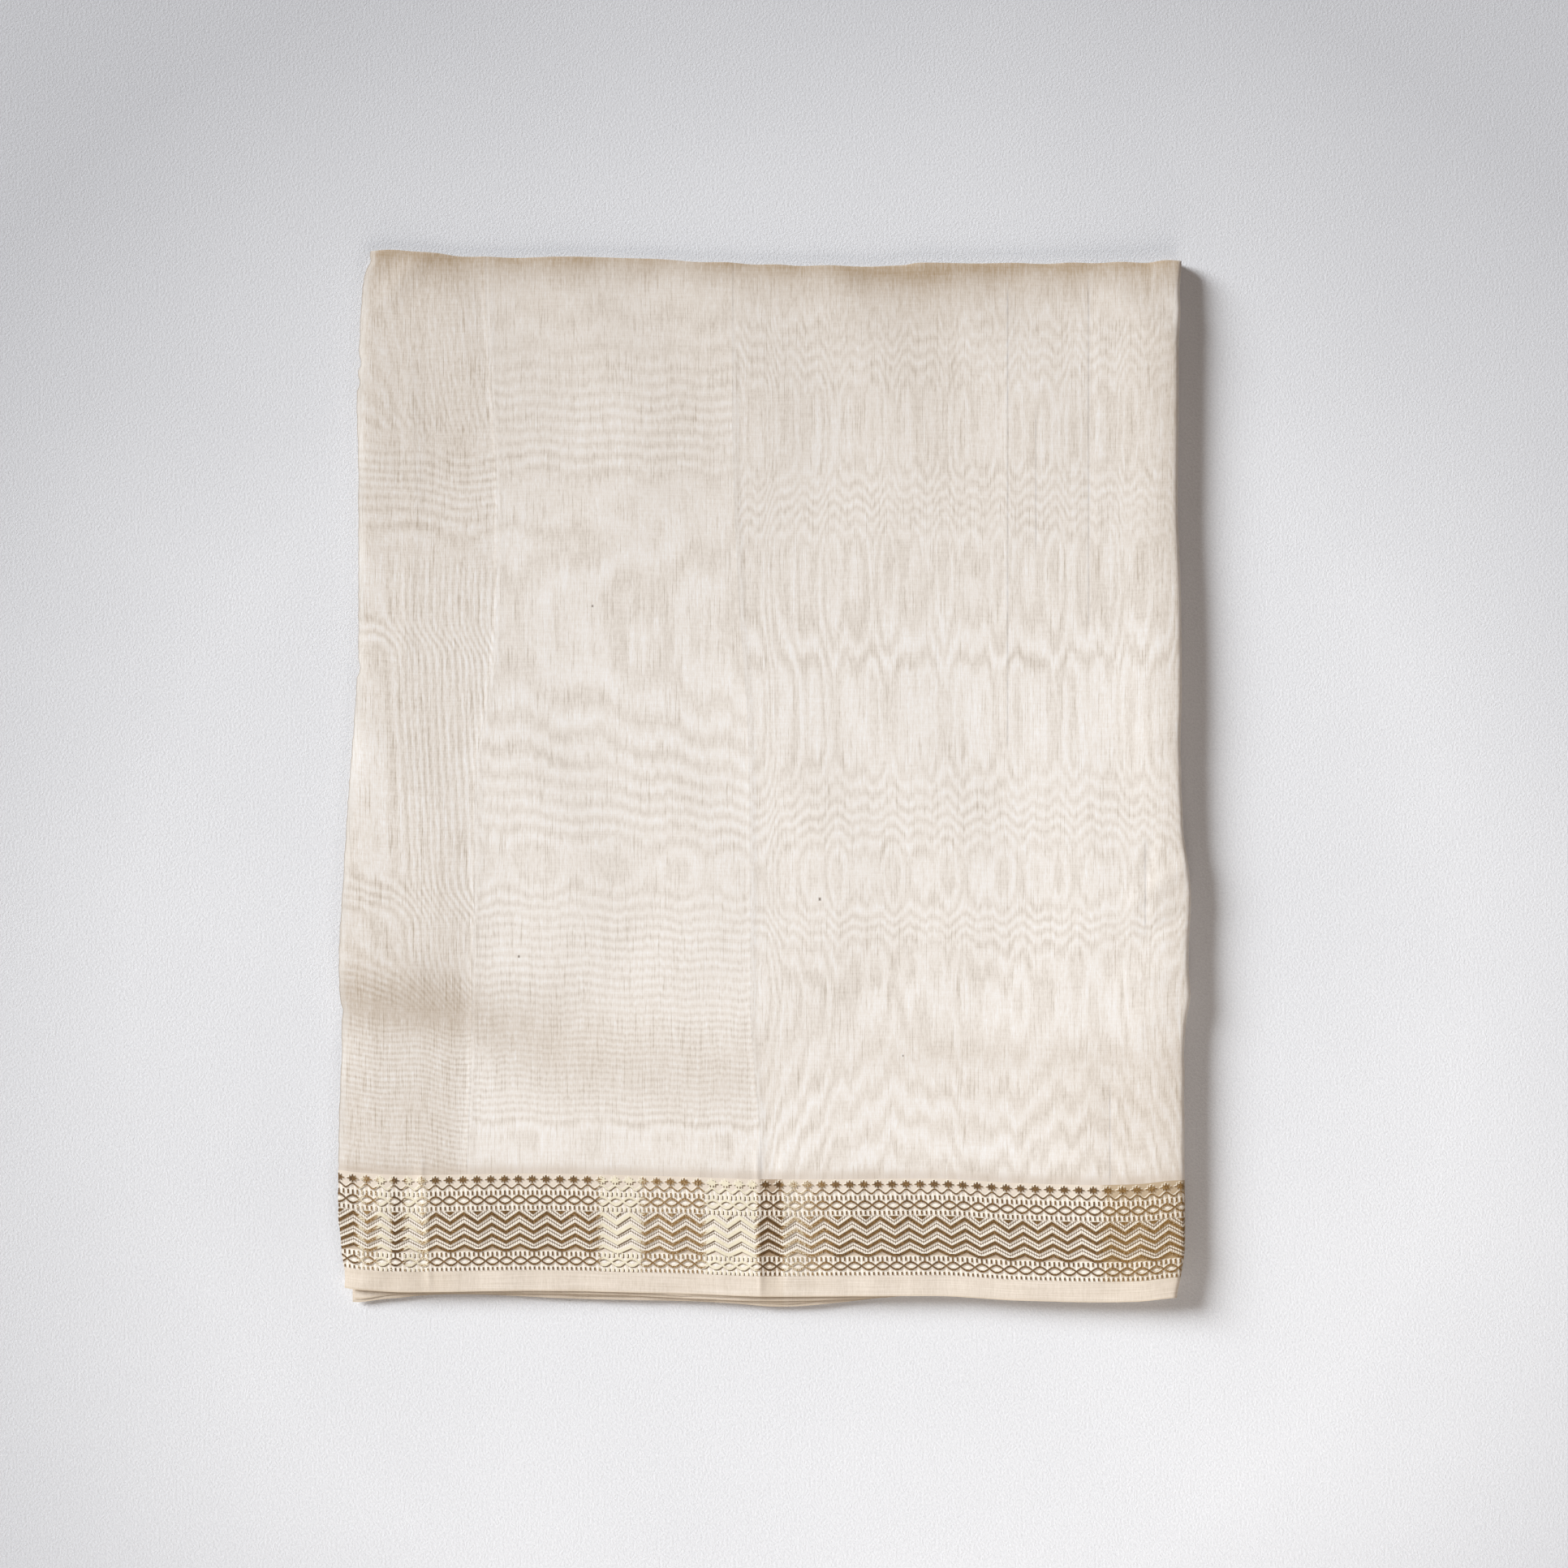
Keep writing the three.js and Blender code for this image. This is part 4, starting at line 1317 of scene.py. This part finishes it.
# %% The floor
# how far the floor reaches in metres, and the painted pool of light on it in mm
FLOOR_REACH = 3.0
POOL_MIDDLE = (20, -110)
POOL_RADIUS = 370
POOL_FADE = 230
bm = bmesh.new()
bmesh.ops.create_grid(bm, x_segments=8, y_segments=8, size=FLOOR_REACH)
floor_mesh = bpy.data.meshes.new("floor")
bm.to_mesh(floor_mesh)
bm.free()
floor = bpy.data.objects.new("floor", floor_mesh)
scene.collection.objects.link(floor)
paper, tree, shader = new_material("pale_floor", 0.85, 0.0, 0.5)
place = tree.nodes.new("ShaderNodeTexCoord")
split = tree.nodes.new("ShaderNodeSeparateXYZ")
tree.links.new(place.outputs["Object"], split.inputs[0])
x = Field(split.outputs["X"]) * 1000
y = Field(split.outputs["Y"]) * 1000
grain = noise(x, y, 1.3, 1.3, detail=4, roughness=0.7)
cloudy = noise(x, y, 160, 160, detail=2, shift=3)
tone = (grain - 0.5) * 1.9 + (cloudy - 0.5) * 0.5 + 0.5
right = x - POOL_MIDDLE[0]
back = y - POOL_MIDDLE[1]
away = calculate("SQRT", right * right + back * back)
# painted shade: the floor darker outside the painted pool of light
outer = calculate("MULTIPLY_ADD", away, 1 / POOL_FADE, -POOL_RADIUS / POOL_FADE, clamp=True)
colour = layered(
    (0.75, 0.755, 0.775),
    ((0.87, 0.875, 0.89), tone),
    # painted shade outside the pool of light
    ((0.44, 0.445, 0.47), outer * 0.55),
)
tree.links.new(colour, shader.inputs["Base Color"])
bump(tree, shader, grain, 0.25)
floor.data.materials.append(paper)
floor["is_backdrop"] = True

# %% Lights


def window(name, place, size, power, colour):
    """A rectangular area light at a place, facing the cloth."""
    data = bpy.data.lights.new(name, "AREA")
    data.shape = "RECTANGLE"
    data.size, data.size_y = size
    data.energy = power
    data.color = colour
    lamp = bpy.data.objects.new(name, data)
    scene.collection.objects.link(lamp)
    lamp.location = place
    towards = -lamp.location
    lamp.rotation_euler = towards.to_track_quat("-Z", "Y").to_euler()


window("panel_near", (0.6, -1.45, 1.15), (1.6, 0.9), 12.0, (1.0, 0.95, 0.895))
window("panel_front", (-0.3, -2.4, 0.62), (1.8, 0.6), 12.0, (1.0, 0.95, 0.88))
daylight = bpy.data.lights.new("window_left", "SUN")
daylight.energy = 5.55
daylight.angle = math.radians(26)
daylight.color = (0.93, 0.965, 1.0)
window_left = bpy.data.objects.new("window_left", daylight)
scene.collection.objects.link(window_left)
window_left.rotation_euler = (0, math.radians(-65.3), math.radians(-26))
world = bpy.data.worlds.new("surround")
scene.world = world
world.use_nodes = True
tree = world.node_tree
surround = tree.nodes["Background"]
surround.inputs["Color"].default_value = (1.0, 0.73, 0.60, 1)
surround.inputs["Strength"].default_value = 0.095
backdrop = tree.nodes.new("ShaderNodeBackground")
backdrop.inputs["Color"].default_value = (0.62, 0.62, 0.64, 1)
seen = tree.nodes.new("ShaderNodeLightPath")
either_world = tree.nodes.new("ShaderNodeMixShader")
tree.links.new(seen.outputs["Is Camera Ray"], either_world.inputs[0])
tree.links.new(surround.outputs[0], either_world.inputs[1])
tree.links.new(backdrop.outputs[0], either_world.inputs[2])
tree.links.new(either_world.outputs[0], tree.nodes["World Output"].inputs["Surface"])

# %% Camera
VIEW_HEIGHT = 1.8
FRAME_WIDTH = 0.8617
CLOTH_LEVEL = 0.008
camera_data = bpy.data.cameras.new("camera")
camera_data.sensor_width = 36
camera_data.lens = 36 * VIEW_HEIGHT / FRAME_WIDTH
camera = bpy.data.objects.new("camera", camera_data)
scene.collection.objects.link(camera)
camera.location = (0.0107, -0.0031, VIEW_HEIGHT + CLOTH_LEVEL)
scene.camera = camera
scene.view_settings.view_transform = "Standard"
print("lens:", round(camera_data.lens, 1), "mm")

# %% [markdown]
# ## Measuring before the end
# The cloth may stand a little proud of its solids, but no more than that. Both boxes are
# printed, in millimetres.

# %% Sizes
shown_low, shown_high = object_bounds()
sizes = {
    "cad_box": [list(solid_low), list(solid_high)],
    "visual_box": [list(shown_low), list(shown_high)],
}
for label, (low, high) in sizes.items():
    print(label, [round((b - a) * 1000, 2) for a, b in zip(low, high)], "mm")
